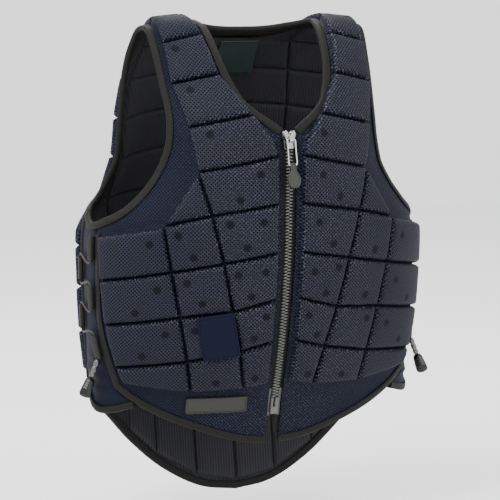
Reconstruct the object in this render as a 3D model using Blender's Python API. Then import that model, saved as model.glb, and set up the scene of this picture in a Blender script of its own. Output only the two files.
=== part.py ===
"""Equestrian body protector: a zipped vest of foam blocks under mesh fabric.

Metres, +Z up. The wearer's front looks along -Y and the wearer's left is +X.
The origin lies midway between the shoulders, at the height where the vest sits
on them. The cloth is laid out as on a cutting table and then wrapped round one
smooth body form. A place on the cloth is (across, down): across is the distance
round the body from the centre line, and down the distance from the shoulder
crest, positive down the front and negative down the back. A third number, lift,
stands out from the middle of the padding.
"""

import math
from collections import namedtuple

import bmesh
import bpy
import numpy as np
from mathutils import Vector
from mathutils.geometry import delaunay_2d_cdt

# Body form, on the middle surface of the padding
FRONT_LENGTH = 0.470
BACK_LENGTH = 0.566
HALF_WIDTH = 0.195
FRONT_DEPTH = 0.121
BACK_DEPTH = 0.117
CREST_HEIGHT = 0.007
SHOULDER_FALL = 0.007
SHOULDER_ROUND = 0.120
BACK_SQUARENESS = 0.72

# Openings, as distances on the cloth
NECK_HALF_WIDTH = 0.073
NECK_DROP = 0.150
BACK_NECK_DROP = 0.030
STRAP_EDGE = 0.133
ARMHOLE_DROP = 0.257
FRONT_HEM = 0.515
FRONT_HEM_SIDE = 0.444
BACK_HEM = 0.600
BACK_HEM_SIDE = 0.470
FRONT_SIDE = 0.229
FRONT_SIDE_LOW = 0.186
BACK_SIDE = 0.222
BACK_SIDE_LOW = 0.205
HEM_CORNER = 0.020
BACK_ARM_EDGE = 0.170

# Padding
OUTER_RISE = 0.0115
INNER_RISE = 0.0065
BLOCK_ROLL = 0.0060
BLOCK_CROWN = 0.0008
WEB_HALF = 0.0015
NECK_MARGIN = 0.0095
ARM_MARGIN = 0.0115
CLOTH_STEP = 0.0320

# Edge tape, folded over every raw edge
TAPE_COVER = 0.0070
TAPE_WALL = 0.0010
TAPE_ROOM = 0.0008
TAPE_STEP = 0.0200
SEAM_GAP = 0.0008

# Front zip
ZIP_EDGE = 0.0080
ZIP_TAPE_INNER = 0.0050
ZIP_TAPE_OUTER = 0.0118
ZIP_TAPE_THICK = 0.0010
ZIP_TOP = 0.1720
ZIP_FOOT = 0.4560
TOOTH_REACH = 0.0045
ROOT_REACH = 0.0036
TOOTH_PITCH = 0.0080
TOOTH_HALF_THICK = 0.0022
TEETH = round((ZIP_FOOT - ZIP_TOP) / TOOTH_PITCH)
CHAIN_END = ZIP_TOP + TEETH * TOOTH_PITCH

# One line of the form for each level. Drops are shares of FRONT_LENGTH and
# BACK_LENGTH, width of HALF_WIDTH, depths of FRONT_DEPTH and BACK_DEPTH.
Section = namedtuple("Section", "front_drop back_drop width front_depth back_depth")
SECTIONS = (
    Section(0.000, 0.000, 0.740, 0.000, 0.000),
    Section(0.010, 0.008, 0.742, 0.230, 0.225),
    Section(0.057, 0.047, 0.745, 0.500, 0.470),
    Section(0.142, 0.118, 0.765, 0.755, 0.660),
    Section(0.245, 0.203, 0.780, 0.965, 0.800),
    Section(0.328, 0.272, 0.795, 1.000, 0.880),
    Section(0.383, 0.318, 0.855, 1.000, 0.925),
    Section(0.434, 0.360, 0.935, 0.990, 0.955),
    Section(0.472, 0.392, 0.982, 0.985, 0.975),
    Section(0.545, 0.452, 1.000, 0.965, 1.000),
    Section(0.620, 0.515, 1.000, 0.925, 0.985),
    Section(0.715, 0.594, 0.998, 0.850, 0.930),
    Section(0.805, 0.668, 0.993, 0.755, 0.850),
    Section(0.925, 0.768, 0.985, 0.610, 0.720),
    Section(1.080, 0.900, 0.980, 0.500, 0.580),
    Section(1.205, 1.001, 0.980, 0.450, 0.500),
    Section(1.320, 1.097, 0.980, 0.430, 0.470),
)
STRAP_BEARING = math.radians(45)
RIM = TAPE_COVER + 0.0015
TAPE_STOP = TAPE_COVER + TAPE_WALL + 2 * SEAM_GAP
NOSE = TAPE_ROOM + TAPE_WALL
SIDE_GAP = NOSE + SEAM_GAP

NAVY = (0.018, 0.024, 0.060, 1.0)
CHARCOAL = (0.020, 0.021, 0.025, 1.0)
TAPE_GREY = (0.035, 0.035, 0.032, 1.0)
SILVER = (0.60, 0.61, 0.62, 1.0)
RUBBER = (0.030, 0.032, 0.030, 1.0)
GREEN = (0.010, 0.035, 0.032, 1.0)
TEAL = (0.010, 0.200, 0.260, 1.0)


# Smooth curves through a few values
def slopes(knots, values):
    """Slope at each knot, flat at a peak, so that the curve never overshoots."""
    steps = np.diff(knots)
    rises = np.diff(values) / steps
    result = np.zeros(len(values))
    result[0] = rises[0]
    result[-1] = rises[-1]
    for i in range(1, len(values) - 1):
        before, after = rises[i - 1], rises[i]
        if before * after > 0:
            near = (steps[i - 1] + 2 * steps[i]) / 3
            far = (2 * steps[i - 1] + steps[i]) / 3
            result[i] = (steps[i - 1] + steps[i]) / (near / before + far / after)
    return result


def smooth(knots, values, at):
    """Smooth curve through (knot, value) pairs, read at one place or many."""
    knots = np.asarray(knots, float)
    values = np.asarray(values, float)
    at = np.clip(at, knots[0], knots[-1])
    i = np.clip(np.searchsorted(knots, at, side="right") - 1, 0, len(knots) - 2)
    width = knots[i + 1] - knots[i]
    s = (at - knots[i]) / width
    m = slopes(knots, values)
    left = (1 + 2 * s) * (1 - s) ** 2 * values[i] + s * (1 - s) ** 2 * width * m[i]
    right = s * s * (3 - 2 * s) * values[i + 1] + s * s * (s - 1) * width * m[i + 1]
    return left + right


# The body form
def meridian(length, depth, drop_name, depth_name, power):
    """Distance down the cloth, height and depth at each section, from the crest."""
    heights = np.array([CREST_HEIGHT - getattr(s, drop_name) * length for s in SECTIONS])
    depths = np.array([getattr(s, depth_name) * depth for s in SECTIONS])
    reach = depths * math.cos(STRAP_BEARING) ** power
    steps = np.hypot(np.diff(heights), np.diff(reach))
    return np.concatenate(([0.0], np.cumsum(steps))), heights, depths


WIDTHS = np.array([s.width * HALF_WIDTH for s in SECTIONS])
FRONT_DOWN, FRONT_HEIGHT, FRONT_OUT = meridian(
    FRONT_LENGTH, FRONT_DEPTH, "front_drop", "front_depth", 1.0
)
BACK_DOWN, BACK_HEIGHT, BACK_OUT = meridian(
    BACK_LENGTH, BACK_DEPTH, "back_drop", "back_depth", BACK_SQUARENESS
)
DOWN = np.concatenate((-BACK_DOWN[:0:-1], FRONT_DOWN))
HEIGHT = np.concatenate((BACK_HEIGHT[:0:-1], FRONT_HEIGHT))
WIDTH = np.concatenate((WIDTHS[:0:-1], WIDTHS))
DEPTH = np.concatenate((BACK_OUT[:0:-1], -FRONT_OUT))
QUARTER = np.linspace(0.0, math.pi / 2, 49)


def down_at_height(height, back):
    """Distance down the front or back cloth at which the form has this height."""
    fine = np.linspace(0.0, (BACK_DOWN if back else FRONT_DOWN)[-1], 400)
    levels = smooth(DOWN, HEIGHT, -fine if back else fine)
    return np.interp(-np.asarray(height), -levels, fine) * (-1 if back else 1)


def half_sections(down):
    """Points round the body at each row, from its own centre line to the far one."""
    down = np.asarray(down, float)
    width = smooth(DOWN, WIDTH, down)[:, None]
    height = smooth(DOWN, HEIGHT, down)
    near = smooth(DOWN, DEPTH, down)[:, None]
    is_back = down < 0
    other = np.where(
        is_back,
        smooth(DOWN, DEPTH, down_at_height(height, False)),
        smooth(DOWN, DEPTH, down_at_height(height, True)),
    )[:, None]
    near_power = np.where(is_back, BACK_SQUARENESS, 1.0)[:, None]
    far_power = np.where(is_back, 1.0, BACK_SQUARENESS)[:, None]
    back_way = QUARTER[-2::-1]
    x = np.hstack(
        (width * np.sin(QUARTER) ** near_power, width * np.sin(back_way) ** far_power)
    )
    y = np.hstack(
        (near * np.cos(QUARTER) ** near_power, other * np.cos(back_way) ** far_power)
    )
    return x, y, height


def middle_surface(across, down):
    """Points of the padding's middle surface at places on the cloth."""
    x, y, height = half_sections(down)
    steps = np.hypot(np.diff(x, axis=1), np.diff(y, axis=1))
    round_it = np.concatenate((np.zeros((len(x), 1)), np.cumsum(steps, axis=1)), axis=1)
    reach = np.abs(across)
    px = np.array([np.interp(r, a, b) for r, a, b in zip(reach, round_it, x)])
    py = np.array([np.interp(r, a, b) for r, a, b in zip(reach, round_it, y)])
    slope = (px - NECK_HALF_WIDTH) / (STRAP_EDGE - NECK_HALF_WIDTH)
    near_crest = np.clip(1 - np.abs(down) / SHOULDER_ROUND, 0, 1) ** 2
    fall = SHOULDER_FALL * np.clip(slope, 0, 2) * near_crest
    return np.column_stack((np.sign(across) * px, py, height - fall))


def cloth(places, lift=0.0):
    """Points at (across, down) places, stood out from the middle surface by lift."""
    places = np.asarray(places, float).reshape(-1, 2)
    across, down = places[:, 0], places[:, 1]
    e = 0.0006
    along = middle_surface(across + e, down) - middle_surface(across - e, down)
    ahead = middle_surface(across, down + e) - middle_surface(across, down - e)
    normal = np.cross(ahead, along)
    normal /= np.linalg.norm(normal, axis=1, keepdims=True)
    return middle_surface(across, down) + normal * np.reshape(lift, (-1, 1))


def quarter_girth(down):
    """Distance round the cloth from the centre line to the side of the body."""
    x, y, _ = half_sections(np.atleast_1d(down))
    n = len(QUARTER)
    return float(np.hypot(np.diff(x[0, :n]), np.diff(y[0, :n])).sum())


def seen_from_back(place):
    """The back cloth's name for a place that the front cloth reaches past the side."""
    across, down = place
    height = float(smooth(DOWN, HEIGHT, down))
    back = float(down_at_height(height, True))
    full = quarter_girth(down) + quarter_girth(back)
    return (math.copysign(full - abs(across), across), back)


# Outlines on the cloth
def curve(points, step):
    """Smooth open line through (across, down) points, in equal steps."""
    points = np.asarray(points, float)
    gaps = np.hypot(*np.diff(points, axis=0).T)
    knots = np.concatenate(([0.0], np.cumsum(gaps)))
    fine = np.linspace(0, knots[-1], 400)
    dense = np.column_stack([catmull(knots, points[:, k], fine) for k in (0, 1)])
    run = np.concatenate(([0.0], np.cumsum(np.hypot(*np.diff(dense, axis=0).T))))
    count = max(2, math.ceil(run[-1] / step) + 1)
    at = np.linspace(0, run[-1], count)
    return np.column_stack([np.interp(at, run, dense[:, k]) for k in (0, 1)])


def catmull(knots, values, at):
    """Rounded curve through the values, free to swell between them."""
    tangent = np.gradient(values, knots)
    i = np.clip(np.searchsorted(knots, at, side="right") - 1, 0, len(knots) - 2)
    width = knots[i + 1] - knots[i]
    s = (at - knots[i]) / width
    left = (1 + 2 * s) * (1 - s) ** 2 * values[i] + s * (1 - s) ** 2 * width * tangent[i]
    right = s * s * (3 - 2 * s) * values[i + 1] + s * s * (s - 1) * width * tangent[i + 1]
    return left + right


def straight(start, end, step):
    """Points from start to end, both kept, no further apart than step."""
    start, end = np.asarray(start, float), np.asarray(end, float)
    count = max(2, math.ceil(float(np.hypot(*(end - start))) / step) + 1)
    return start + (end - start) * np.linspace(0, 1, count)[:, None]


def mirrored(places):
    """The same places on the other side of the body."""
    return np.asarray(places) * (-1.0, 1.0)


# Neck edge from the zip to the crest, as shares of NECK_HALF_WIDTH and NECK_DROP
Edge = namedtuple("Edge", "across down")
NECK_FRONT = (
    Edge(0.215, 0.960),
    Edge(0.440, 0.880),
    Edge(0.620, 0.795),
    Edge(0.745, 0.660),
    Edge(0.825, 0.520),
    Edge(0.880, 0.345),
    Edge(0.925, 0.150),
    Edge(1.000, 0.000),
)
# Neck edge behind, from the crest to the middle, of NECK_HALF_WIDTH and BACK_NECK_DROP
NECK_BACK = (
    Edge(1.000, 0.000),
    Edge(0.900, 0.420),
    Edge(0.620, 0.830),
    Edge(0.300, 0.980),
    Edge(0.000, 1.000),
)
# Front armhole from the crest down to the front's side edge. Across runs from
# STRAP_EDGE (0) to FRONT_SIDE (1), and down is a share of ARMHOLE_DROP.
ARM_FRONT = (
    Edge(-0.030, 0.000),
    Edge(0.010, 0.190),
    Edge(0.020, 0.380),
    Edge(0.015, 0.540),
    Edge(0.045, 0.640),
    Edge(0.140, 0.735),
    Edge(0.320, 0.840),
    Edge(0.590, 0.935),
    Edge(1.000, 1.000),
)
# Back armhole from the crest down to the back's side edge. Across runs from
# STRAP_EDGE (0) to BACK_ARM_EDGE (1).
ARM_BACK = (
    Edge(-0.110, 0.000),
    Edge(0.120, 0.150),
    Edge(0.600, 0.300),
    Edge(0.870, 0.440),
    Edge(1.000, 0.600),
    Edge(1.080, 0.770),
    Edge(1.260, 0.900),
)
# Front hem from the zip to the side, from FRONT_HEM_SIDE (0) to FRONT_HEM (1)
HEM_FRONT = (
    Edge(0.190, 0.950),
    Edge(0.460, 0.730),
    Edge(0.710, 0.460),
    Edge(0.890, 0.200),
    Edge(1.000, 0.000),
)
# Back hem from the middle to the side, from BACK_HEM_SIDE (0) to BACK_HEM (1)
HEM_BACK = (
    Edge(0.000, 1.000),
    Edge(0.200, 0.950),
    Edge(0.430, 0.760),
    Edge(0.640, 0.470),
    Edge(0.800, 0.190),
    Edge(0.935, 0.000),
)


def neck_front(step):
    places = [(e.across * NECK_HALF_WIDTH, e.down * NECK_DROP) for e in NECK_FRONT]
    return curve([(ZIP_EDGE, NECK_DROP)] + places, step)


def neck_back(step):
    places = [(e.across * NECK_HALF_WIDTH, -e.down * BACK_NECK_DROP) for e in NECK_BACK]
    return curve(places, step)


def arm_front(step):
    span = FRONT_SIDE - STRAP_EDGE
    places = [(STRAP_EDGE + e.across * span, e.down * ARMHOLE_DROP) for e in ARM_FRONT]
    return curve(places, step)


def arm_back(step):
    span = BACK_ARM_EDGE - STRAP_EDGE
    places = [(STRAP_EDGE + e.across * span, -e.down * ARMHOLE_DROP) for e in ARM_BACK]
    corner = seen_from_back(gusset_top(step)[-1])
    return curve(places + [corner], step)


def gusset_top(step):
    """The armhole's foot, across the gusset, named from the front cloth."""
    behind = 2 * quarter_girth(ARMHOLE_DROP) - BACK_SIDE
    middle = ((FRONT_SIDE + behind) / 2, ARMHOLE_DROP + 0.002)
    return curve([(FRONT_SIDE, ARMHOLE_DROP), middle, (behind, ARMHOLE_DROP - 0.008)], step)


def hem_front(step):
    span = FRONT_HEM - FRONT_HEM_SIDE
    places = [(e.across * FRONT_SIDE_LOW, FRONT_HEM_SIDE + e.down * span) for e in HEM_FRONT]
    return curve([(ZIP_EDGE, FRONT_HEM)] + places, step)


def side_front(step):
    """Front panel's side edge, up from the hem to the armhole."""
    low = (FRONT_SIDE_LOW, FRONT_HEM_SIDE)
    middle = (FRONT_SIDE - 0.012, (FRONT_HEM_SIDE + ARMHOLE_DROP) / 2 + 0.020)
    return stopped(curve([low, middle, (FRONT_SIDE, ARMHOLE_DROP)], step))


def hem_back(step):
    span = BACK_HEM - BACK_HEM_SIDE
    places = [(e.across * BACK_SIDE_LOW, -BACK_HEM_SIDE - e.down * span) for e in HEM_BACK]
    return curve(places, step)


def side_back(step):
    """Back panel's side edge, up from the hem to the armhole."""
    corner = seen_from_back(gusset_top(step)[-1])
    turn = [(HEM_BACK[-1].across * BACK_SIDE_LOW, -BACK_HEM_SIDE)]
    turn.append((BACK_SIDE_LOW, -BACK_HEM_SIDE + HEM_CORNER))
    middle = (BACK_SIDE, -(BACK_HEM_SIDE + ARMHOLE_DROP) / 2)
    return stopped(curve(turn + [middle, corner], step))


def joined(*lines):
    """Lines run together, each starting where the last one ends."""
    result = [lines[0]]
    for line in lines[1:]:
        result.append(line[1:])
    return np.vstack(result)


def inward(path):
    """Unit directions on the cloth, to the left of the way that the path runs."""
    tangent = np.gradient(path, axis=0)
    tangent /= np.hypot(tangent[:, 0], tangent[:, 1])[:, None]
    return np.column_stack((-tangent[:, 1], tangent[:, 0]))


def stopped(path, short=None):
    """The path with one more point, where its tape stops short of the tape at its end."""
    run = np.concatenate(([0.0], np.cumsum(np.hypot(*np.diff(path, axis=0).T))))
    stop = run[-1] - (TAPE_STOP if short is None else short)
    at = np.array([r for r in run[:-1] if r < stop - 0.004] + [stop, run[-1]])
    return np.column_stack([np.interp(at, run, path[:, k]) for k in (0, 1)])


# Solids
def finish_solid(name, points, faces, colour, roughness, metallic=0.0, sharp=40):
    """One closed body with its own material, shaded smooth below the sharp angle."""
    mesh = bpy.data.meshes.new(name)
    mesh.from_pydata([tuple(map(float, p)) for p in points], [], faces)
    mesh.validate()
    shape = bmesh.new()
    shape.from_mesh(mesh)
    bmesh.ops.recalc_face_normals(shape, faces=shape.faces)
    shape.to_mesh(mesh)
    shape.free()
    thing = bpy.data.objects.new(name, mesh)
    bpy.context.collection.objects.link(thing)
    dress(thing, colour, roughness, metallic, sharp)
    return thing


def dress(thing, colour, roughness, metallic=0.0, sharp=40):
    material = bpy.data.materials.new(thing.name)
    material.use_nodes = True
    shader = material.node_tree.nodes["Principled BSDF"]
    shader.inputs["Base Color"].default_value = colour
    shader.inputs["Roughness"].default_value = roughness
    shader.inputs["Metallic"].default_value = metallic
    thing.data.materials.clear()
    thing.data.materials.append(material)
    if thing.type == "MESH":
        thing.data.shade_smooth()
        thing.data.set_sharp_from_angle(angle=math.radians(sharp))


def sweep(name, path, sides, profile, colour, roughness, closed=False, metallic=0.0):
    """Profile of (inset from the path, lift) points carried along a path on the cloth."""
    count = len(profile)
    points = []
    for place, side in zip(path, sides):
        ring = [np.asarray(place) + np.asarray(side) * inset for inset, _ in profile]
        points.extend(cloth(ring, [lift for _, lift in profile]))
    return loft(name, points, len(path), count, closed, colour, roughness, metallic)


def loft(name, points, rings, count, closed, colour, roughness, metallic=0.0):
    """Skin over rings of equally many points, capped at both ends unless it is closed."""
    faces = []
    for k in range(rings if closed else rings - 1):
        this, following = k * count, (k + 1) % rings * count
        for i in range(count):
            j = (i + 1) % count
            faces.append((this + i, this + j, following + j, following + i))
    if not closed:
        faces.append(tuple(range(count)))
        faces.append(tuple(range((rings - 1) * count, rings * count)))
    return finish_solid(name, points, faces, colour, roughness, metallic)


# Quilted panels
def inset_polygon(corners, distance):
    """Corners moved inward so that every side lies distance from where it was."""
    corners = np.asarray(corners, float)
    area = sum(
        a[0] * b[1] - b[0] * a[1] for a, b in zip(corners, np.roll(corners, -1, axis=0))
    )
    turn = 1.0 if area > 0 else -1.0
    result = []
    for before, here, after in zip(
        np.roll(corners, 1, axis=0), corners, np.roll(corners, -1, axis=0)
    ):
        one = (here - before) / np.hypot(*(here - before))
        two = (after - here) / np.hypot(*(after - here))
        normal_one = np.array((-one[1], one[0])) * turn
        normal_two = np.array((-two[1], two[0])) * turn
        bisector = (normal_one + normal_two) / (1 + float(normal_one @ normal_two))
        result.append(here + bisector * distance)
    return result


def ring_points(corners, step):
    """Points round a closed polygon, every corner kept."""
    result = []
    for start, end in zip(corners, list(corners[1:]) + [corners[0]]):
        result.extend(straight(start, end, step)[:-1])
    return result


def inside(corners, place):
    """Whether a place lies inside a convex polygon."""
    signs = []
    for a, b in zip(corners, list(corners[1:]) + [corners[0]]):
        signs.append((b[0] - a[0]) * (place[1] - a[1]) - (b[1] - a[1]) * (place[0] - a[0]))
    return all(s > 0 for s in signs) or all(s < 0 for s in signs)


def within(outline, place):
    """Whether a place lies inside any closed outline."""
    crossings = 0
    for a, b in zip(outline, np.roll(outline, -1, axis=0)):
        if (a[1] > place[1]) != (b[1] > place[1]):
            at = a[0] + (place[1] - a[1]) / (b[1] - a[1]) * (b[0] - a[0])
            crossings += at > place[0]
    return crossings % 2 == 1


class Sheet:
    """Cloth outline, seams and block tops, gathered for one triangulation."""

    def __init__(self):
        self.places = []
        self.edges = []
        self.height = []

    def add(self, places, height, closed):
        start = len(self.places)
        self.places.extend(places)
        self.height.extend([height] * len(places))
        last = len(places) if closed else len(places) - 1
        self.edges.extend((start + i, start + (i + 1) % len(places)) for i in range(last))

    def add_block(self, corners):
        """A foam block: its seam line, its rolled top edge and a crowned middle."""
        self.add(ring_points(corners, CLOTH_STEP), 0.0, True)
        top = inset_polygon(corners, BLOCK_ROLL)
        self.add(ring_points(top, CLOTH_STEP), 1.0, True)
        core = inset_polygon(corners, BLOCK_ROLL + CLOTH_STEP * 0.45)
        low, high = np.min(core, axis=0), np.max(core, axis=0)
        counts = [max(1, round(float(s) / CLOTH_STEP)) for s in high - low]
        for i in range(counts[0]):
            for k in range(counts[1]):
                share = np.array(((i + 0.5) / counts[0], (k + 0.5) / counts[1]))
                place = low + (high - low) * share
                if inside(core, place):
                    self.places.append(place)
                    self.height.append(2.0)

    def fill_flats(self, outline, blocks):
        """Points over the flat cloth, so that it follows the form there too."""
        low, high = np.min(outline, axis=0), np.max(outline, axis=0)
        counts = np.ceil((high - low) / CLOTH_STEP).astype(int)
        fixed = np.array(self.places)
        for i in range(counts[0]):
            for k in range(counts[1]):
                place = low + (np.array((i, k)) + 0.5) * CLOTH_STEP
                clear = np.hypot(*(fixed - place).T).min() > CLOTH_STEP * 0.45
                if clear and within(outline, place) and not any(inside(b, place) for b in blocks):
                    self.places.append(place)
                    self.height.append(0.0)

    def triangles(self):
        vectors = [Vector((float(p[0]), float(p[1]))) for p in self.places]
        result = delaunay_2d_cdt(vectors, self.edges, [], 1, 1e-6)
        places = np.array([tuple(v) for v in result[0]])
        heights = np.array([max((self.height[i] for i in o), default=0.0) for o in result[3]])
        return places, heights, [tuple(f) for f in result[2]]


def quilted_panel(name, outline, rims, blocks, colour):
    """A padded panel: flat where it is sewn or bound, and raised over each foam block."""
    sheet = Sheet()
    sheet.add(list(outline), 0.0, True)
    for rim in rims:
        sheet.add(list(rim), 0.0, False)
    for corners in blocks:
        sheet.add_block(corners)
    sheet.fill_flats(np.asarray(outline), blocks)
    places, heights, triangles = sheet.triangles()
    crown = np.where(heights > 1.5, BLOCK_CROWN, 0.0)
    raised = heights > 0.5
    outer = cloth(places, np.where(raised, OUTER_RISE, WEB_HALF) + crown)
    inner = cloth(places, -np.where(raised, INNER_RISE, WEB_HALF) - crown)
    count = len(places)
    faces = []
    border = {}
    for a, b, c in triangles:
        faces.append((a, b, c))
        faces.append((c + count, b + count, a + count))
        for edge in ((a, b), (b, c), (c, a)):
            border[edge] = border.get(edge, 0) + 1
    for a, b in border:
        if (b, a) not in border:
            faces.append((b, a, a + count, b + count))
    return finish_solid(name, np.vstack((outer, inner)), faces, colour, 0.85, sharp=60)


def across_at(line, down):
    """Where a line that runs steadily down the cloth crosses a row."""
    order = np.argsort(line[:, 1])
    return float(np.interp(down, line[order, 1], line[order, 0]))


# Quilting of the front half. Downs are shares of FRONT_HEM and acrosses of
# FRONT_SIDE. A first column runs from the neck and zip to the strap's line, a
# middle one to the side line, and a third to the side.
FrontSeam = namedtuple("FrontSeam", "centre strap middle side strap_at middle_at side_at")
FRONT_SEAMS = (
    FrontSeam(0.004, 0.004, None, None, None, None, None),
    FrontSeam(0.078, 0.095, None, None, None, None, None),
    FrontSeam(0.173, 0.194, None, None, None, None, None),
    FrontSeam(0.262, 0.287, None, None, 0.480, None, None),
    FrontSeam(0.346, 0.381, None, None, 0.437, None, None),
    FrontSeam(0.447, 0.472, 0.495, 0.526, 0.376, 0.603, 0.953),
    FrontSeam(0.553, 0.573, 0.592, 0.621, 0.319, 0.563, 0.930),
    FrontSeam(0.654, 0.680, 0.691, 0.718, 0.266, 0.515, 0.888),
    FrontSeam(0.750, 0.771, 0.792, 0.812, 0.218, 0.467, 0.812),
    FrontSeam(0.850, 0.862, 0.866, 0.849, 0.179, 0.437, 0.765),
)
STRAP_ROWS = 3
WEDGE_ROW = 4
ZIP_BLOCK_EDGE = ZIP_EDGE + 0.0045


def front_blocks():
    """Corners of each foam block in the wearer's left front half."""
    neck = neck_front(0.004)
    inner, strap, middle, side = [], [], [], []
    for row, seam in enumerate(FRONT_SEAMS):
        down = seam.centre * FRONT_HEM
        on_neck = row <= STRAP_ROWS
        inner_at = across_at(neck, down) + NECK_MARGIN if on_neck else ZIP_BLOCK_EDGE
        inner.append((inner_at, down))
        strap_at = STRAP_EDGE - ARM_MARGIN
        if seam.strap_at is not None:
            strap_at = seam.strap_at * FRONT_SIDE
        strap.append((strap_at, seam.strap * FRONT_HEM))
        if seam.middle is None:
            middle.append(None)
            side.append(None)
        else:
            middle.append((seam.middle_at * FRONT_SIDE, seam.middle * FRONT_HEM))
            side.append((seam.side_at * FRONT_SIDE, seam.side * FRONT_HEM))
    blocks = []
    for row in range(len(FRONT_SEAMS) - 1):
        corners = [inner[row], strap[row], strap[row + 1], inner[row + 1]]
        if row == STRAP_ROWS:
            corners.append((ZIP_BLOCK_EDGE + NECK_MARGIN * 0.7, NECK_DROP + NECK_MARGIN))
        blocks.append(corners)
    blocks.append([strap[WEDGE_ROW], middle[WEDGE_ROW + 1], strap[WEDGE_ROW + 1]])
    for row in range(WEDGE_ROW + 1, len(FRONT_SEAMS) - 1):
        blocks.append([strap[row], middle[row], middle[row + 1], strap[row + 1]])
        blocks.append([middle[row], side[row], side[row + 1], middle[row + 1]])
    return blocks


# Quilting of the back. Downs are shares of BACK_HEM and acrosses of BACK_SIDE.
# The middle column crosses the centre line, a second runs to the armhole line and
# a third to the side.
BackSeam = namedtuple("BackSeam", "centre spine blade side spine_at blade_at side_at")
BACK_SEAMS = (
    BackSeam(0.068, 0.076, 0.083, None, 0.290, 0.545, None),
    BackSeam(0.132, 0.143, 0.157, None, 0.318, 0.650, None),
    BackSeam(0.208, 0.218, 0.238, None, 0.338, 0.700, None),
    BackSeam(0.287, 0.297, 0.317, None, 0.338, 0.722, None),
    BackSeam(0.370, 0.377, 0.393, 0.452, 0.325, 0.738, 0.945),
    BackSeam(0.458, 0.463, 0.470, 0.484, 0.306, 0.676, 0.948),
    BackSeam(0.547, 0.550, 0.555, 0.563, 0.288, 0.617, 0.940),
    BackSeam(0.633, 0.637, 0.642, 0.647, 0.266, 0.559, 0.925),
    BackSeam(0.720, 0.722, 0.725, 0.728, 0.245, 0.505, 0.880),
    BackSeam(0.807, 0.807, 0.803, None, 0.225, 0.450, None),
)
SIDE_ROWS = (4, 8)
TAIL_OUTER = 0.610


def back_blocks():
    """Corners of each foam block in the back panel."""
    def place(at, down):
        return (at * BACK_SIDE, -down * BACK_HEM)

    crest = -FRONT_SEAMS[0].centre * FRONT_HEM
    spine = [place(s.spine_at, s.spine) for s in BACK_SEAMS]
    blade = [place(s.blade_at, s.blade) for s in BACK_SEAMS]
    centre = [(0.0, -s.centre * BACK_HEM) for s in BACK_SEAMS]
    hem = hem_back(0.004)

    def above_hem(across):
        down = float(np.interp(across, hem[:, 0], hem[:, 1]))
        return (across, down + RIM + 0.002)

    halves = [
        [
            (NECK_HALF_WIDTH + NECK_MARGIN, crest),
            (STRAP_EDGE - ARM_MARGIN, crest),
            blade[0],
            spine[0],
        ]
    ]
    for row in range(len(BACK_SEAMS) - 1):
        halves.append([spine[row], blade[row], blade[row + 1], spine[row + 1]])
        if SIDE_ROWS[0] <= row < SIDE_ROWS[1]:
            near, far = BACK_SEAMS[row], BACK_SEAMS[row + 1]
            halves.append(
                [
                    blade[row],
                    place(near.side_at, near.side),
                    place(far.side_at, far.side),
                    blade[row + 1],
                ]
            )
    tail_top = [centre[-1], spine[-1], blade[-1], (TAIL_OUTER * BACK_SIDE, blade[-1][1] + 0.008)]
    for left, right in zip(tail_top, tail_top[1:]):
        halves.append([left, right, above_hem(right[0]), above_hem(left[0])])
    blocks = []
    for corners in halves:
        blocks.append(corners)
        blocks.append([(-a, d) for a, d in corners])
    for row in range(len(BACK_SEAMS) - 1):
        top, low = spine[row], spine[row + 1]
        blocks.append(
            [
                (-top[0], top[1]),
                centre[row],
                top,
                low,
                centre[row + 1],
                (-low[0], low[1]),
            ]
        )
    return blocks


def rim_of(line, crest=None):
    """Line just inside a bound edge, past its tape, so that the cloth is flat under it."""
    rim = line + inward(line) * RIM
    for end in (0, -1):
        if crest is not None and abs(line[end, 1]) <= abs(crest):
            rim[end, 1] = crest
    keep_first = crest is not None and rim[0, 1] == crest
    keep_last = crest is not None and rim[-1, 1] == crest
    return rim[0 if keep_first else 1 : None if keep_last else -1]


def build_panels():
    """Both front halves and the back, with the flat rim that their tape folds over."""
    neck, arm = neck_front(TAPE_STEP), arm_front(TAPE_STEP)
    side, hem = side_front(TAPE_STEP), hem_front(TAPE_STEP)
    crest = SEAM_GAP / 2
    neck[-1, 1] = crest
    arm[0, 1] = crest
    zip_edge = straight((ZIP_EDGE, FRONT_HEM), (ZIP_EDGE, NECK_DROP), CLOTH_STEP)
    across_crest = straight(neck[-1], arm[0], CLOTH_STEP)
    outline = joined(arm, side[::-1], hem[::-1], zip_edge, neck, across_crest)[:-1]
    rims = [rim_of(neck, crest), rim_of(arm, crest), rim_of(joined(side[::-1], hem[::-1]))]
    blocks = front_blocks()
    quilted_panel("front_panel_left", outline, rims, blocks, NAVY)
    quilted_panel(
        "front_panel_right",
        mirrored(outline),
        [mirrored(r) for r in rims],
        [[(-a, d) for a, d in corners] for corners in blocks],
        NAVY,
    )
    neck, arm = neck_back(TAPE_STEP), arm_back(TAPE_STEP)
    side, hem = side_back(TAPE_STEP), hem_back(TAPE_STEP)
    neck[0, 1] = -crest
    arm[0, 1] = -crest
    half = joined(neck[::-1], straight(neck[0], arm[0], CLOTH_STEP), arm, side[::-1], hem[::-1])
    outline = np.vstack((half, mirrored(half)[-2:0:-1]))
    rims = []
    for line in (neck, arm[::-1], joined(hem, side)):
        rim = rim_of(line, -crest)
        rims.extend((rim, mirrored(rim)))
    quilted_panel("back_panel", outline, rims, back_blocks(), NAVY)


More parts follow.
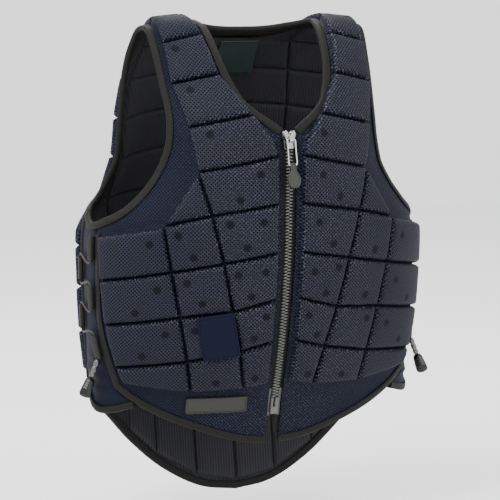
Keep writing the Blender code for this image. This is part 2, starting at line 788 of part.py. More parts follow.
# Edge tapes
TAPE_PROFILE = (
    (TAPE_COVER, WEB_HALF + TAPE_ROOM + TAPE_WALL),
    (-NOSE, WEB_HALF + TAPE_ROOM + TAPE_WALL * 0.4),
    (-NOSE, -WEB_HALF - TAPE_ROOM - TAPE_WALL * 0.4),
    (TAPE_COVER, -WEB_HALF - TAPE_ROOM - TAPE_WALL),
    (TAPE_COVER, -WEB_HALF - TAPE_ROOM),
    (-TAPE_ROOM, -WEB_HALF - TAPE_ROOM),
    (-TAPE_ROOM, WEB_HALF + TAPE_ROOM),
    (TAPE_COVER, WEB_HALF + TAPE_ROOM),
)


def tape(name, path):
    """Grosgrain folded over a raw edge, the cloth lying to the left of the path."""
    return sweep(name, path, inward(path), TAPE_PROFILE, TAPE_GREY, 0.8)


def both_sides(name, build):
    """The wearer's left piece and its mirror on the right."""
    build(name + "_left", 1.0)
    build(name + "_right", -1.0)


def sided_tape(name, path, side):
    """Tape on the wearer's left, or its mirror, where the cloth lies on the other hand."""
    places = path if side > 0 else mirrored(path)
    sides = inward(path) * (side, 1.0)
    return sweep(name, places, sides, TAPE_PROFILE, TAPE_GREY, 0.8)


def armhole_tape(name, side):
    """One closed loop: down the front, under the arm across the gusset, up the back."""
    front = arm_front(TAPE_STEP)
    foot = gusset_top(TAPE_STEP)
    back = arm_back(TAPE_STEP)[::-1]
    places = np.vstack((front, foot[1:-1], back[:-1]))
    sides = np.vstack((inward(joined(front, foot))[:-1], inward(back)[:-1]))
    return sweep(name, places * (side, 1.0), sides * (side, 1.0), TAPE_PROFILE, TAPE_GREY, 0.8, True)


def build_tapes():
    half = joined(neck_front(TAPE_STEP), neck_back(TAPE_STEP))
    tape("neck_tape", np.vstack((half, mirrored(half)[-2::-1])))
    both_sides("armhole_tape", armhole_tape)
    edge = joined(side_front(TAPE_STEP)[::-1], hem_front(TAPE_STEP)[::-1])[1:]
    both_sides("front_edge_tape", lambda name, side: sided_tape(name, edge, side))
    half = joined(hem_back(TAPE_STEP), side_back(TAPE_STEP))[:-1]
    tape("back_edge_tape", np.vstack((mirrored(half)[::-1], half[1:])))


# Side gussets and their lacing
GUSSET_FOOT = 0.155
GUSSET_LOW = 0.476


def seen_from_front(place):
    """The front cloth's name for a place near the side on the back cloth."""
    across, down = place
    height = float(smooth(DOWN, HEIGHT, down))
    front = float(down_at_height(height, False))
    return (quarter_girth(down) + quarter_girth(front) - across, front)


def gusset_lines():
    """Top, back, lower and front edges of the left gusset, clear of the panels' tapes."""
    front = joined(side_front(TAPE_STEP)[::-1], hem_front(TAPE_STEP)[::-1])
    front = front - inward(front) * SIDE_GAP
    front = front[front[:, 0] > GUSSET_FOOT]
    above_turn = [p for p in side_back(TAPE_STEP)[::-1] if p[1] > HEM_CORNER - BACK_HEM_SIDE]
    back = np.array([seen_from_front(p) for p in above_turn])
    back = back - np.array((SIDE_GAP, 0.0))
    top = gusset_top(TAPE_STEP)
    for end, following in ((0, 1), (-1, -2)):
        way = top[following] - top[end]
        top[end] += way / np.hypot(*way) * SIDE_GAP
    front[0] = top[0]
    back[0] = top[-1]
    middle = ((front[-1][0] + back[-1][0]) / 2, GUSSET_LOW)
    lower = stopped(curve([front[-1], middle, back[-1]], TAPE_STEP), TAPE_COVER * 0.6)
    return top, back, stopped(lower[::-1], TAPE_STOP * 1.5), front


def gusset(name, side):
    """Stretch mesh between the front and the back, under the lacing."""
    top, back, lower, front = gusset_lines()
    outline = joined(top, back, lower, front[::-1])[:-1]
    rims = [(top + inward(top) * RIM)[1:-1], (lower + inward(lower) * RIM)[1:-1]]
    flip = (side, 1.0)
    quilted_panel(name, outline * flip, [r * flip for r in rims], [], NAVY)


def gusset_tape(name, side):
    lower = gusset_lines()[2][1:-1]
    flip = (side, 1.0)
    sweep(name, lower * flip, inward(lower) * flip, TAPE_PROFILE, TAPE_GREY, 0.8)


# Webbing loops beside the edges, and the elastic lace that runs through them
LOOP_LENGTH = 0.0260
LOOP_HALF_WIDTH = 0.0042
LOOP_HALF_HEIGHT = 0.0026
LOOP_WALL = 0.0009
LOOP_LIFT = WEB_HALF + SEAM_GAP + LOOP_HALF_HEIGHT
FRONT_LOOPS = (0.273, 0.329, 0.385)
BACK_LOOPS = (0.301, 0.357)
LACE_RADIUS = 0.0011


def channel(back):
    """Line beside the front's or back's side edge in which the lace runs."""
    lines = gusset_lines()
    line = lines[1] if back else lines[3]
    return line + np.array((-1.0 if back else 1.0, 0.0)) * (LOOP_HALF_WIDTH + SEAM_GAP)


def loop_ring(half_width, half_height):
    """Six points round a webbing loop: (across, lift) from the loop's middle."""
    return [
        (-half_width, 0.0),
        (-half_width * 0.6, half_height),
        (half_width * 0.6, half_height),
        (half_width, 0.0),
        (half_width * 0.6, -half_height),
        (-half_width * 0.6, -half_height),
    ]


def webbing_loop(name, line, down, side):
    """A short sleeve of folded webbing that the lace passes through."""
    outer = loop_ring(LOOP_HALF_WIDTH, LOOP_HALF_HEIGHT)
    inner = loop_ring(LOOP_HALF_WIDTH - LOOP_WALL, LOOP_HALF_HEIGHT - LOOP_WALL)
    points = []
    rows = np.linspace(down, down + LOOP_LENGTH, 3)
    for row in rows:
        middle = across_at(line, row)
        for ring in (outer, inner):
            places = [((middle + a) * side, row) for a, _ in ring]
            points.extend(cloth(places, [LOOP_LIFT + h for _, h in ring]))
    count = len(outer)
    faces = []
    for k in range(len(rows) - 1):
        for skin in (0, count):
            start, following = 2 * count * k + skin, 2 * count * (k + 1) + skin
            for i in range(count):
                j = (i + 1) % count
                faces.append((start + i, start + j, following + j, following + i))
    for start in (0, 2 * count * (len(rows) - 1)):
        for i in range(count):
            j = (i + 1) % count
            faces.append((start + i, start + j, start + count + j, start + count + i))
    finish_solid(name, points, faces, TAPE_GREY, 0.8)


def tube(name, points, across_it, radius, sides, colour, roughness, closed=False, metallic=0.0):
    """Round bar along points, with one direction across it given at each point."""
    points = np.asarray(points, float)
    along = np.gradient(points, axis=0)
    if closed:
        along = np.roll(points, -1, axis=0) - np.roll(points, 1, axis=0)
    along /= np.linalg.norm(along, axis=1, keepdims=True)
    second = np.cross(along, across_it)
    second /= np.linalg.norm(second, axis=1, keepdims=True)
    first = np.cross(second, along)
    turns = np.linspace(0, 2 * math.pi, sides, endpoint=False)
    rings = [
        p + radius * (math.cos(t) * a + math.sin(t) * b)
        for p, a, b in zip(points, first, second)
        for t in turns
    ]
    return loft(name, rings, len(points), sides, closed, colour, roughness, metallic)


def lace_route():
    """Places that the lace passes, down through each loop and across between them."""
    front, back = channel(False), channel(True)
    clear = (FRONT_LOOPS[1] - FRONT_LOOPS[0] - 2 * LOOP_LENGTH) / 2
    stops = sorted([(d, False) for d in FRONT_LOOPS] + [(d, True) for d in BACK_LOOPS])
    route = []
    for down, is_back in stops:
        line = back if is_back else front
        for row in (down - clear / 2, down + LOOP_LENGTH / 2, down + LOOP_LENGTH + clear / 2):
            route.append((across_at(line, row), row))
    return curve(route, 0.0110)


def lace(name, side):
    route = lace_route() * (side, 1.0)
    points = cloth(route, LOOP_LIFT)
    tube(name, points, points - cloth(route), LACE_RADIUS, 4, CHARCOAL, 0.7)


LOCK_DROP = 0.0005
LOCK_RADIUS = 0.0032
LOCK_LENGTH = 0.0220
GRIP_RADIUS = 0.0075
GRIP_LENGTH = 0.0225
GRIP_GAP = 0.0003
LACE_LEAN = math.radians(22)


def turned(name, start, direction, profile, sides, colour, roughness, metallic=0.0):
    """Round piece along a direction, from (distance, radius) rings."""
    direction = direction.normalized()
    across_it = direction.orthogonal().normalized()
    second = direction.cross(across_it)
    points = []
    for distance, radius in profile:
        for i in range(sides):
            turn = 2 * math.pi * i / sides
            spoke = across_it * math.cos(turn) + second * math.sin(turn)
            points.append(start + direction * distance + spoke * radius)
    return loft(name, points, len(profile), sides, False, colour, roughness, metallic)


def lace_end(side):
    """The lock that grips the lace's end and the rubber grip that hangs from it."""
    last = lace_route()[-1] * (side, 1.0)
    start = Vector(cloth([last], LOOP_LIFT)[0])
    way = Vector((side * math.sin(LACE_LEAN), 0.0, -math.cos(LACE_LEAN)))
    start += way * LOCK_DROP + Vector((side * LACE_RADIUS, 0.0, 0.0))
    hand = "left" if side > 0 else "right"
    lock = ((0.0, 0.6), (0.1, 1.0), (0.9, 1.0), (1.0, 0.6))
    profile = [(d * LOCK_LENGTH, r * LOCK_RADIUS) for d, r in lock]
    turned("lace_lock_" + hand, start, way, profile, 8, SILVER, 0.4, 0.9)
    start = start + way * (LOCK_LENGTH + GRIP_GAP)
    grip = ((0.0, 0.55), (0.15, 0.85), (0.8, 1.0), (1.0, 0.7))
    profile = [(d * GRIP_LENGTH, r * GRIP_RADIUS) for d, r in grip]
    turned("lace_grip_" + hand, start, way, profile, 8, RUBBER, 0.6)


def build_sides():
    both_sides("side_gusset", gusset)
    both_sides("gusset_tape", gusset_tape)
    for hand, side in (("left", 1.0), ("right", -1.0)):
        for number, down in enumerate(FRONT_LOOPS, 1):
            webbing_loop(f"front_loop_{hand}_{number}", channel(False), down, side)
        for number, down in enumerate(BACK_LOOPS, 1):
            webbing_loop(f"back_loop_{hand}_{number}", channel(True), down, side)
        lace("lace_" + hand, side)
        lace_end(side)


# Front zip
ZIP_TAPE_SEAT = 0.0004
BOX_LENGTH = 0.0200
SLIDER_LENGTH = 0.0200
SLIDER_HALF_WIDTH = 0.0068
SLIDER_HALF_DEPTH = 0.0046
BRIDGE_HALF_WIDTH = 0.0021
BRIDGE_WALL = 0.0016
BRIDGE_ROOT = 0.0010
WIRE_RADIUS = 0.0009
WIRE_HALF_WIDTH = 0.0052
WIRE_LENGTH = 0.0290
EYE_RADIUS = WIRE_RADIUS + 0.0007
WIRE_BEND = 0.0020
PULL_LENGTH = 0.0280
PULL_NECK_LENGTH = 0.0060
PULL_OVERLAP = 0.0014
PULL_HALF_WIDTH = 0.0075
PULL_HALF_DEPTH = 0.0023
PULL_NECK_HALF_WIDTH = 0.0034
PULL_HANG = math.radians(4)
SLIDER_MIDDLE = ZIP_TOP - SLIDER_LENGTH / 2 - SEAM_GAP
HINGE_LIFT = SLIDER_HALF_DEPTH + 0.0024


def zip_tape(name, side):
    """Woven tape beside the chain, sewn behind the panel's edge."""
    top = ZIP_TOP + SEAM_GAP
    low = FRONT_HEM - TAPE_COVER - 2 * SEAM_GAP
    path = straight((0.0, top), (0.0, low), CLOTH_STEP)
    face = -WEB_HALF - ZIP_TAPE_SEAT
    profile = (
        (ZIP_TAPE_INNER, face),
        (ZIP_TAPE_OUTER, face),
        (ZIP_TAPE_OUTER, face - ZIP_TAPE_THICK),
        (ZIP_TAPE_INNER, face - ZIP_TAPE_THICK),
    )
    sweep(name, path, [(side, 0.0)] * len(path), profile, TAPE_GREY, 0.8)


def zip_chain():
    """Closed teeth, cast as one bar with a rib for each tooth."""
    points = []
    for k in range(2 * TEETH + 1):
        down = ZIP_TOP + k * TOOTH_PITCH / 2
        reach = TOOTH_REACH if k % 2 else ROOT_REACH
        thick = TOOTH_HALF_THICK * (1.0 if k % 2 else 0.7)
        places = [(reach, down), (-reach, down), (-reach, down), (reach, down)]
        points.extend(cloth(places, [thick, thick, -thick, -thick]))
    loft("zip_chain", points, 2 * TEETH + 1, 4, False, CHARCOAL, 0.45)


def zip_box():
    """Moulded pin and box at the foot of the chain."""
    start = CHAIN_END + SEAM_GAP
    path = straight((0.0, start), (0.0, start + BOX_LENGTH), BOX_LENGTH / 2)
    half = TOOTH_HALF_THICK * 1.25
    profile = ((TOOTH_REACH, half), (-TOOTH_REACH, half), (-TOOTH_REACH, -half), (TOOTH_REACH, -half))
    sweep("zip_box", path, [(1.0, 0.0)] * len(path), profile, CHARCOAL, 0.45)


def zip_frame(down):
    """Origin, outward and upward directions on the zip at a row."""
    here, out, below = cloth([(0, down), (0, down), (0, down + 0.01)], [0.0, 0.01, 0.0])
    outward = Vector(out - here).normalized()
    upward = Vector(here - below).normalized()
    upward = (upward - outward * upward.dot(outward)).normalized()
    return Vector(here), outward, upward


def plate(name, outline, origin, first, second, third, half_depth, colour, roughness, metallic):
    """Flat piece of an outline in (first, second), thickened both ways along third."""
    points = []
    for depth in (-half_depth, half_depth):
        for a, b in outline:
            points.append(origin + first * a + second * b + third * depth)
    return loft(name, points, 2, len(outline), False, colour, roughness, metallic)


def hide_cutter(thing):
    thing.hide_render = True
    thing.display_type = "WIRE"


def combine(thing, other, operation):
    hide_cutter(other)
    modifier = thing.modifiers.new(operation.title(), "BOOLEAN")
    modifier.operation = operation
    modifier.object = other


def zip_slider():
    """Slider body with the bridge that its pull hangs on."""
    origin, outward, upward = zip_frame(SLIDER_MIDDLE)
    half, width = SLIDER_LENGTH / 2, SLIDER_HALF_WIDTH
    right = Vector((1, 0, 0))
    outline = (
        (-width * 0.72, -half), (width * 0.72, -half), (width, half * 0.1),
        (width, half * 0.75), (width * 0.7, half), (-width * 0.7, half),
        (-width, half * 0.75), (-width, half * 0.1),
    )
    body = plate(
        "zip_slider", outline, origin, right, upward, outward,
        SLIDER_HALF_DEPTH, SILVER, 0.3, 1.0,
    )
    reach = EYE_RADIUS + BRIDGE_WALL
    arch = [(-reach - BRIDGE_ROOT, -BRIDGE_ROOT)]
    arch += [
        (-math.cos(t) * reach, HINGE_LIFT - SLIDER_HALF_DEPTH + math.sin(t) * reach)
        for t in np.linspace(0, math.pi, 7)
    ]
    arch += [(reach + BRIDGE_ROOT, -BRIDGE_ROOT), (EYE_RADIUS, -BRIDGE_ROOT)]
    arch += [
        (math.cos(t) * EYE_RADIUS, HINGE_LIFT - SLIDER_HALF_DEPTH + math.sin(t) * EYE_RADIUS)
        for t in np.linspace(0, math.pi, 7)
    ]
    arch += [(-EYE_RADIUS, -BRIDGE_ROOT)]
    bridge = plate(
        "slider_bridge_guide", arch, origin + outward * SLIDER_HALF_DEPTH, upward, outward,
        right, BRIDGE_HALF_WIDTH, SILVER, 0.3, 1.0,
    )
    combine(body, bridge, "UNION")


def pull_frame():
    """Hinge point on the slider, the way that the pull hangs, and its outward side."""
    origin, outward, upward = zip_frame(SLIDER_MIDDLE)
    hinge = origin + outward * HINGE_LIFT
    hang = (-upward * math.cos(PULL_HANG) + outward * math.sin(PULL_HANG)).normalized()
    face = Vector((1, 0, 0)).cross(hang).normalized()
    return hinge, hang, face if face.dot(outward) > 0 else -face


def zip_pull(body):
    """Wire loop through the bridge, with a moulded rubber puller on its foot."""
    hinge, hang, face = pull_frame()
    right = Vector((1, 0, 0))
    w, n = WIRE_HALF_WIDTH, WIRE_BEND
    neck, length = PULL_NECK_HALF_WIDTH, WIRE_LENGTH
    outline = (
        (-w + n, 0.0), (w - n, 0.0), (w, n), (w, length * 0.6), (neck + EYE_RADIUS, length - n),
        (neck, length), (-neck, length), (-neck - EYE_RADIUS, length - n), (-w, length * 0.6), (-w, n),
    )
    points = [hinge + right * a + hang * b for a, b in outline]
    wire = tube(
        "pull_wire", points, [face] * len(points), WIRE_RADIUS, 6, SILVER, 0.3, True, 1.0
    )
    top = length - EYE_RADIUS - PULL_OVERLAP
    p, half = PULL_LENGTH, PULL_HALF_WIDTH
    outline = (
        (-neck * 0.8, 0.0), (neck * 0.8, 0.0), (neck * 0.8, PULL_NECK_LENGTH), (half, p * 0.48),
        (half, p * 0.78), (half * 0.6, p), (-half * 0.6, p), (-half, p * 0.78),
        (-half, p * 0.48), (-neck * 0.8, PULL_NECK_LENGTH),
    )
    puller = plate(
        "rubber_puller", outline, hinge + hang * top, right, hang, face,
        PULL_HALF_DEPTH, RUBBER, 0.6, 0.0,
    )
    eye = turned(
        "puller_eye_guide", hinge + hang * length - right * w, right,
        ((0.0, EYE_RADIUS), (2 * w, EYE_RADIUS)), 8, RUBBER, 0.6,
    )
    combine(puller, eye, "DIFFERENCE")
    for thing in (wire, puller, eye):
        hang_from(thing, body, hinge)


def hang_from(thing, body, hinge):
    """Parent a piece to the empty on its hinge, leaving it where it is."""
    thing.data.transform(thing.matrix_world)
    for vertex in thing.data.vertices:
        vertex.co -= hinge
    thing.parent = body


def build_zip():
    both_sides("zip_tape", zip_tape)
    zip_chain()
    zip_box()
    zip_slider()
    hinge = bpy.data.objects.new("zip_pull_hinge", None)
    bpy.context.collection.objects.link(hinge)
    hinge.location = pull_frame()[0]
    zip_pull(hinge)


# Pieces sewn on
PATCH_CELL = 0.012


def patch(name, corners, lift, thickness, colour, roughness):
    """Thin piece lying on the cloth between four corners, in a grid of small faces."""
    a, b, c, d = (np.asarray(p, float) for p in corners)
    columns = max(2, math.ceil(float(np.hypot(*(b - a))) / PATCH_CELL) + 1)
    rows = max(2, math.ceil(float(np.hypot(*(d - a))) / PATCH_CELL) + 1)
    places = []
    for t in np.linspace(0, 1, rows):
        for s in np.linspace(0, 1, columns):
            places.append((a * (1 - s) + b * s) * (1 - t) + (d * (1 - s) + c * s) * t)
    low, high = cloth(places, lift), cloth(places, lift + thickness)
    count = len(places)
    faces = []
    for r in range(rows - 1):
        for k in range(columns - 1):
            i = r * columns + k
            quad = (i, i + 1, i + columns + 1, i + columns)
            faces.append(quad[::-1])
            faces.append(tuple(v + count for v in quad))
    edge = list(range(columns)) + [r * columns + columns - 1 for r in range(1, rows)]
    edge += [(rows - 1) * columns + k for k in range(columns - 2, -1, -1)]
    edge += [r * columns for r in range(rows - 2, 0, -1)]
    for i, j in zip(edge, edge[1:] + edge[:1]):
        faces.append((i, j, j + count, i + count))
    return finish_solid(name, np.vstack((low, high)), faces, colour, roughness)


ON_BLOCK = OUTER_RISE + BLOCK_CROWN + SEAM_GAP
IN_BLOCK = INNER_RISE + BLOCK_CROWN + SEAM_GAP
ON_WEB = WEB_HALF + SEAM_GAP
TAB_THICK = 0.0014
TAB_WIDTH = 0.0400
TAB_INSET = 0.0020
TAB_FALL = 0.0060
BADGE_THICK = 0.0025
BADGE_INNER = 0.0340
BADGE_WIDTH = 0.0700
BADGE_HEIGHT = 0.0200
BADGE_ABOVE_HEM = 0.0400
LABEL_THICK = 0.0008
LABEL_HALF_WIDTH = 0.0235
LABEL_HEIGHT = 0.0460
LABEL_BELOW_NECK = 0.0100
TAG_SIDE = 0.0240
TAG_INNER = 0.0660
TAG_ABOVE_HEM = 0.0560


def upright(left, top, width, height):
    """Corners of an upright patch, in order round it."""
    right, foot = left + width, top + height
    return [(left, top), (right, top), (right, foot), (left, foot)]


def build_labels():
    """Hook-and-loop tab, bare rubber badge, and the plain labels inside."""
    seam, below = FRONT_SEAMS[7], FRONT_SEAMS[8]
    inner = (seam.strap_at * FRONT_SIDE, seam.strap * FRONT_HEM)
    low = (below.strap_at * FRONT_SIDE, below.strap * FRONT_HEM)
    tab = [(-inner[0] - TAB_WIDTH, inner[1] + TAB_FALL - TAB_INSET), (-inner[0], inner[1] - TAB_INSET)]
    tab += [(-low[0], low[1] + TAB_INSET), (-low[0] - TAB_WIDTH, low[1] + TAB_INSET + TAB_FALL)]
    patch("hook_loop_tab", tab, ON_BLOCK, TAB_THICK, NAVY, 0.6)
    top = FRONT_HEM - BADGE_ABOVE_HEM - BADGE_HEIGHT
    badge = upright(-BADGE_INNER - BADGE_WIDTH, top, BADGE_WIDTH, BADGE_HEIGHT)
    patch("rubber_badge", badge, ON_WEB, BADGE_THICK, RUBBER, 0.6)
    top = -BACK_NECK_DROP - LABEL_BELOW_NECK
    label = upright(-LABEL_HALF_WIDTH, top, 2 * LABEL_HALF_WIDTH, -LABEL_HEIGHT)
    patch("neck_label", label, -IN_BLOCK - LABEL_THICK, LABEL_THICK, GREEN, 0.7)
    tag = upright(TAG_INNER, -BACK_HEM + TAG_ABOVE_HEM + TAG_SIDE, TAG_SIDE, -TAG_SIDE)
    patch("care_tag", tag, -IN_BLOCK - LABEL_THICK, LABEL_THICK, TEAL, 0.7)


def remove_everything():
    for thing in list(bpy.data.objects):
        bpy.data.objects.remove(thing, do_unlink=True)


remove_everything()
build_panels()
build_tapes()
build_sides()
build_zip()
build_labels()
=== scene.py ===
# %% [markdown]
# # A riding body protector
#
# This lesson dresses a plain solid model of a body protector, the padded vest that a rider
# wears. The solids already give every size. Each one is read here as a frame, and its look
# is built round it. We start with the modules, and with the box that the frame fills.

# %% Load the frame
import math
from collections import namedtuple

import bmesh
import bpy
import numpy as np
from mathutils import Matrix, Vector, kdtree, noise
from mathutils.geometry import delaunay_2d_cdt


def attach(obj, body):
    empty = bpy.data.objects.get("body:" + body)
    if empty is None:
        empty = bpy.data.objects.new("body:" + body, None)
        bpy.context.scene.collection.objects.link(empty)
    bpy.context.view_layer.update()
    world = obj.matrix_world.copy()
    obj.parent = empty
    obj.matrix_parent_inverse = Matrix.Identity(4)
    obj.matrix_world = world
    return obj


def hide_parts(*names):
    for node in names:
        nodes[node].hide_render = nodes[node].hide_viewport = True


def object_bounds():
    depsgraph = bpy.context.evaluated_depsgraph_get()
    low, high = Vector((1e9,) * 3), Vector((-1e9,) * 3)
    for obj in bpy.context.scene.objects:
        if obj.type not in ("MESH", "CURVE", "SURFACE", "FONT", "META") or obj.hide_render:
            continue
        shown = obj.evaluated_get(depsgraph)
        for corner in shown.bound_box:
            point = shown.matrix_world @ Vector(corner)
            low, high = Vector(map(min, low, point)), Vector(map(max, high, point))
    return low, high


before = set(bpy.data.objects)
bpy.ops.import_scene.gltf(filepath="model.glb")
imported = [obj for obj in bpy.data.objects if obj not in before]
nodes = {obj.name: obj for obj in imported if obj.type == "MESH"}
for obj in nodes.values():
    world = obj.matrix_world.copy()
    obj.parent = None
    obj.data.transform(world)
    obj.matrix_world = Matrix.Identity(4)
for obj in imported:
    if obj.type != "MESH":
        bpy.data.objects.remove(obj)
cad_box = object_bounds()
print("solids in the frame:", len(nodes))

# %% [markdown]
# ## The camera and the light
#
# A dark cloth needs a lot of soft light, or its weave disappears. One large lamp stands high
# on the left, a second fills the right side, and a third from behind draws the edge of the
# shoulders. The floor and the sky are pale, as in a studio cove, and the lens is long so that
# the vest keeps straight sides.

# %% Camera
VIEW_TARGET = Vector((0.0, 0.006, -0.2585))
VIEW_BEARING = math.radians(-20)
VIEW_RISE = math.radians(8)
VIEW_DISTANCE = 2.2
FRAME_SIDE = 0.585
SENSOR = 36.0


def seen_from(bearing, rise, distance):
    """A place round the target, by compass bearing from the front and height angle."""
    flat = math.cos(rise)
    way = Vector((math.sin(bearing) * flat, -math.cos(bearing) * flat, math.sin(rise)))
    return VIEW_TARGET + way * distance


camera_data = bpy.data.cameras.new("studio_camera")
camera_data.sensor_width = SENSOR
camera_data.lens = SENSOR * VIEW_DISTANCE / FRAME_SIDE
camera = bpy.data.objects.new("studio_camera", camera_data)
bpy.context.scene.collection.objects.link(camera)
camera.location = seen_from(VIEW_BEARING, VIEW_RISE, VIEW_DISTANCE)
camera.rotation_euler = (VIEW_TARGET - camera.location).to_track_quat("-Z", "Y").to_euler()
bpy.context.scene.camera = camera
print("lens", round(camera_data.lens), "mm")

# %% Lamps


def soft_lamp(name, bearing, rise, distance, size, power):
    """A square area lamp that faces the vest."""
    data = bpy.data.lights.new(name, "AREA")
    data.size = size
    data.energy = power
    lamp = bpy.data.objects.new(name, data)
    bpy.context.scene.collection.objects.link(lamp)
    lamp.location = seen_from(math.radians(bearing), math.radians(rise), distance)
    lamp.rotation_euler = (VIEW_TARGET - lamp.location).to_track_quat("-Z", "Y").to_euler()


Lamp = namedtuple("Lamp", "name bearing rise distance size power")
LAMPS = (
    Lamp("high_left_lamp", -60, 48, 2.0, 1.1, 60),
    Lamp("right_fill_lamp", 50, 25, 2.3, 1.4, 34),
    Lamp("back_rim_lamp", 170, 55, 2.0, 1.0, 24),
)
for lamp in LAMPS:
    soft_lamp(*lamp)
print("lamps:", len(LAMPS))

# %% Floor and sky
FLOOR_DROP = 0.04
FLOOR_REACH = 6.0
FLOOR_TONE = (0.90, 0.90, 0.90)
FLOOR_ROUGHNESS = 0.9
SKY_STRENGTH = 1.7


def paint(name, colour, roughness, metallic=0.0, specular=0.5):
    """A new material, its shader with its plain values on its own sockets, and its nodes."""
    material = bpy.data.materials.new(name)
    material.use_nodes = True
    shader = material.node_tree.nodes["Principled BSDF"]
    shader.inputs["Base Color"].default_value = (*colour, 1.0)
    shader.inputs["Roughness"].default_value = roughness
    shader.inputs["Metallic"].default_value = metallic
    shader.inputs["Specular IOR Level"].default_value = specular
    return material, shader, material.node_tree


floor_paint = paint("pale_floor", FLOOR_TONE, FLOOR_ROUGHNESS)[0]
bpy.ops.mesh.primitive_plane_add(size=FLOOR_REACH, location=(0, 0, cad_box[0].z - FLOOR_DROP))
floor = bpy.context.object
floor.name = "pale_floor"
floor.data.materials.append(floor_paint)
sky = bpy.data.worlds.new("pale_sky")
sky.use_nodes = True
glow = sky.node_tree.nodes["Background"].inputs
glow["Color"].default_value = (1.0, 1.0, 1.0, 1.0)
glow["Strength"].default_value = SKY_STRENGTH
bpy.context.scene.world = sky
print("floor under the hem at", round(cad_box[0].z - FLOOR_DROP, 3))

# %% [markdown]
# ## The body form
#
# A vest is cut flat and then wraps round a body. We keep both pictures: a place on the cloth
# is (across, down), the distance round the body from the centre line and the distance from
# the top of the shoulder, positive down the front and negative down the back. The form itself
# is a stack of ovals, one for each level, and a smooth curve runs through them, so a few rows
# of numbers give a whole torso.

# %% Sizes of the form
FRONT_LENGTH = 0.470
BACK_LENGTH = 0.566
HALF_WIDTH = 0.195
FRONT_DEPTH = 0.121
BACK_DEPTH = 0.117
CREST_HEIGHT = 0.007
SHOULDER_FALL = 0.007
SHOULDER_ROUND = 0.120
BACK_SQUARENESS = 0.72
STRAP_BEARING = math.radians(45)
NECK_HALF_WIDTH = 0.073
STRAP_EDGE = 0.133

Section = namedtuple("Section", "front_drop back_drop width front_depth back_depth")
SECTIONS = (
    Section(0.000, 0.000, 0.740, 0.000, 0.000),
    Section(0.010, 0.008, 0.742, 0.230, 0.225),
    Section(0.057, 0.047, 0.745, 0.500, 0.470),
    Section(0.142, 0.118, 0.765, 0.755, 0.660),
    Section(0.245, 0.203, 0.780, 0.965, 0.800),
    Section(0.328, 0.272, 0.795, 1.000, 0.880),
    Section(0.383, 0.318, 0.855, 1.000, 0.925),
    Section(0.434, 0.360, 0.935, 0.990, 0.955),
    Section(0.472, 0.392, 0.982, 0.985, 0.975),
    Section(0.545, 0.452, 1.000, 0.965, 1.000),
    Section(0.620, 0.515, 1.000, 0.925, 0.985),
    Section(0.715, 0.594, 0.998, 0.850, 0.930),
    Section(0.805, 0.668, 0.993, 0.755, 0.850),
    Section(0.925, 0.768, 0.985, 0.610, 0.720),
    Section(1.080, 0.900, 0.980, 0.500, 0.580),
    Section(1.205, 1.001, 0.980, 0.450, 0.500),
    Section(1.320, 1.097, 0.980, 0.430, 0.470),
)
print(len(SECTIONS), "levels from shoulder to tail")

# %% Smooth curves through a few values


def slopes(knots, values):
    """Slope at each knot, flat at a peak, so that the curve never overshoots."""
    steps = np.diff(knots)
    rises = np.diff(values) / steps
    result = np.zeros(len(values))
    result[0] = rises[0]
    result[-1] = rises[-1]
    for i in range(1, len(values) - 1):
        before, after = rises[i - 1], rises[i]
        if before * after > 0:
            near = (steps[i - 1] + 2 * steps[i]) / 3
            far = (2 * steps[i - 1] + steps[i]) / 3
            result[i] = (steps[i - 1] + steps[i]) / (near / before + far / after)
    return result


def hermite(knots, values, tangent, at):
    """Curve through the values with the given slopes, read at many places."""
    i = np.clip(np.searchsorted(knots, at, side="right") - 1, 0, len(knots) - 2)
    width = knots[i + 1] - knots[i]
    s = (at - knots[i]) / width
    left = (1 + 2 * s) * (1 - s) ** 2 * values[i] + s * (1 - s) ** 2 * width * tangent[i]
    right = s * s * (3 - 2 * s) * values[i + 1] + s * s * (s - 1) * width * tangent[i + 1]
    return left + right


def smooth(knots, values, at):
    """The curve that never overshoots."""
    return hermite(knots, values, slopes(knots, values), np.clip(at, knots[0], knots[-1]))


print("halfway between 0 and 1:", float(smooth(np.array([0.0, 1.0]), np.array([0.0, 1.0]), 0.5)))

# %% Levels of the form


def meridian(length, depth, drop_name, depth_name, power):
    """Distance down the cloth, height and depth at each section, from the crest."""
    heights = np.array([CREST_HEIGHT - getattr(s, drop_name) * length for s in SECTIONS])
    depths = np.array([getattr(s, depth_name) * depth for s in SECTIONS])
    reach = depths * math.cos(STRAP_BEARING) ** power
    steps = np.hypot(np.diff(heights), np.diff(reach))
    return np.concatenate(([0.0], np.cumsum(steps))), heights, depths


WIDTHS = np.array([s.width * HALF_WIDTH for s in SECTIONS])
FRONT_DOWN, FRONT_HEIGHT, FRONT_OUT = meridian(
    FRONT_LENGTH, FRONT_DEPTH, "front_drop", "front_depth", 1.0
)
BACK_DOWN, BACK_HEIGHT, BACK_OUT = meridian(
    BACK_LENGTH, BACK_DEPTH, "back_drop", "back_depth", BACK_SQUARENESS
)
DOWN = np.concatenate((-BACK_DOWN[:0:-1], FRONT_DOWN))
HEIGHT = np.concatenate((BACK_HEIGHT[:0:-1], FRONT_HEIGHT))
WIDTH = np.concatenate((WIDTHS[:0:-1], WIDTHS))
DEPTH = np.concatenate((BACK_OUT[:0:-1], -FRONT_OUT))
QUARTER = np.linspace(0.0, math.pi / 2, 49)
FINE_STEPS = 400


def down_at_height(height, back):
    """Distance down the front or back cloth at which the form has this height."""
    fine = np.linspace(0.0, (BACK_DOWN if back else FRONT_DOWN)[-1], FINE_STEPS)
    levels = smooth(DOWN, HEIGHT, -fine if back else fine)
    return np.interp(-np.asarray(height), -levels, fine) * (-1 if back else 1)


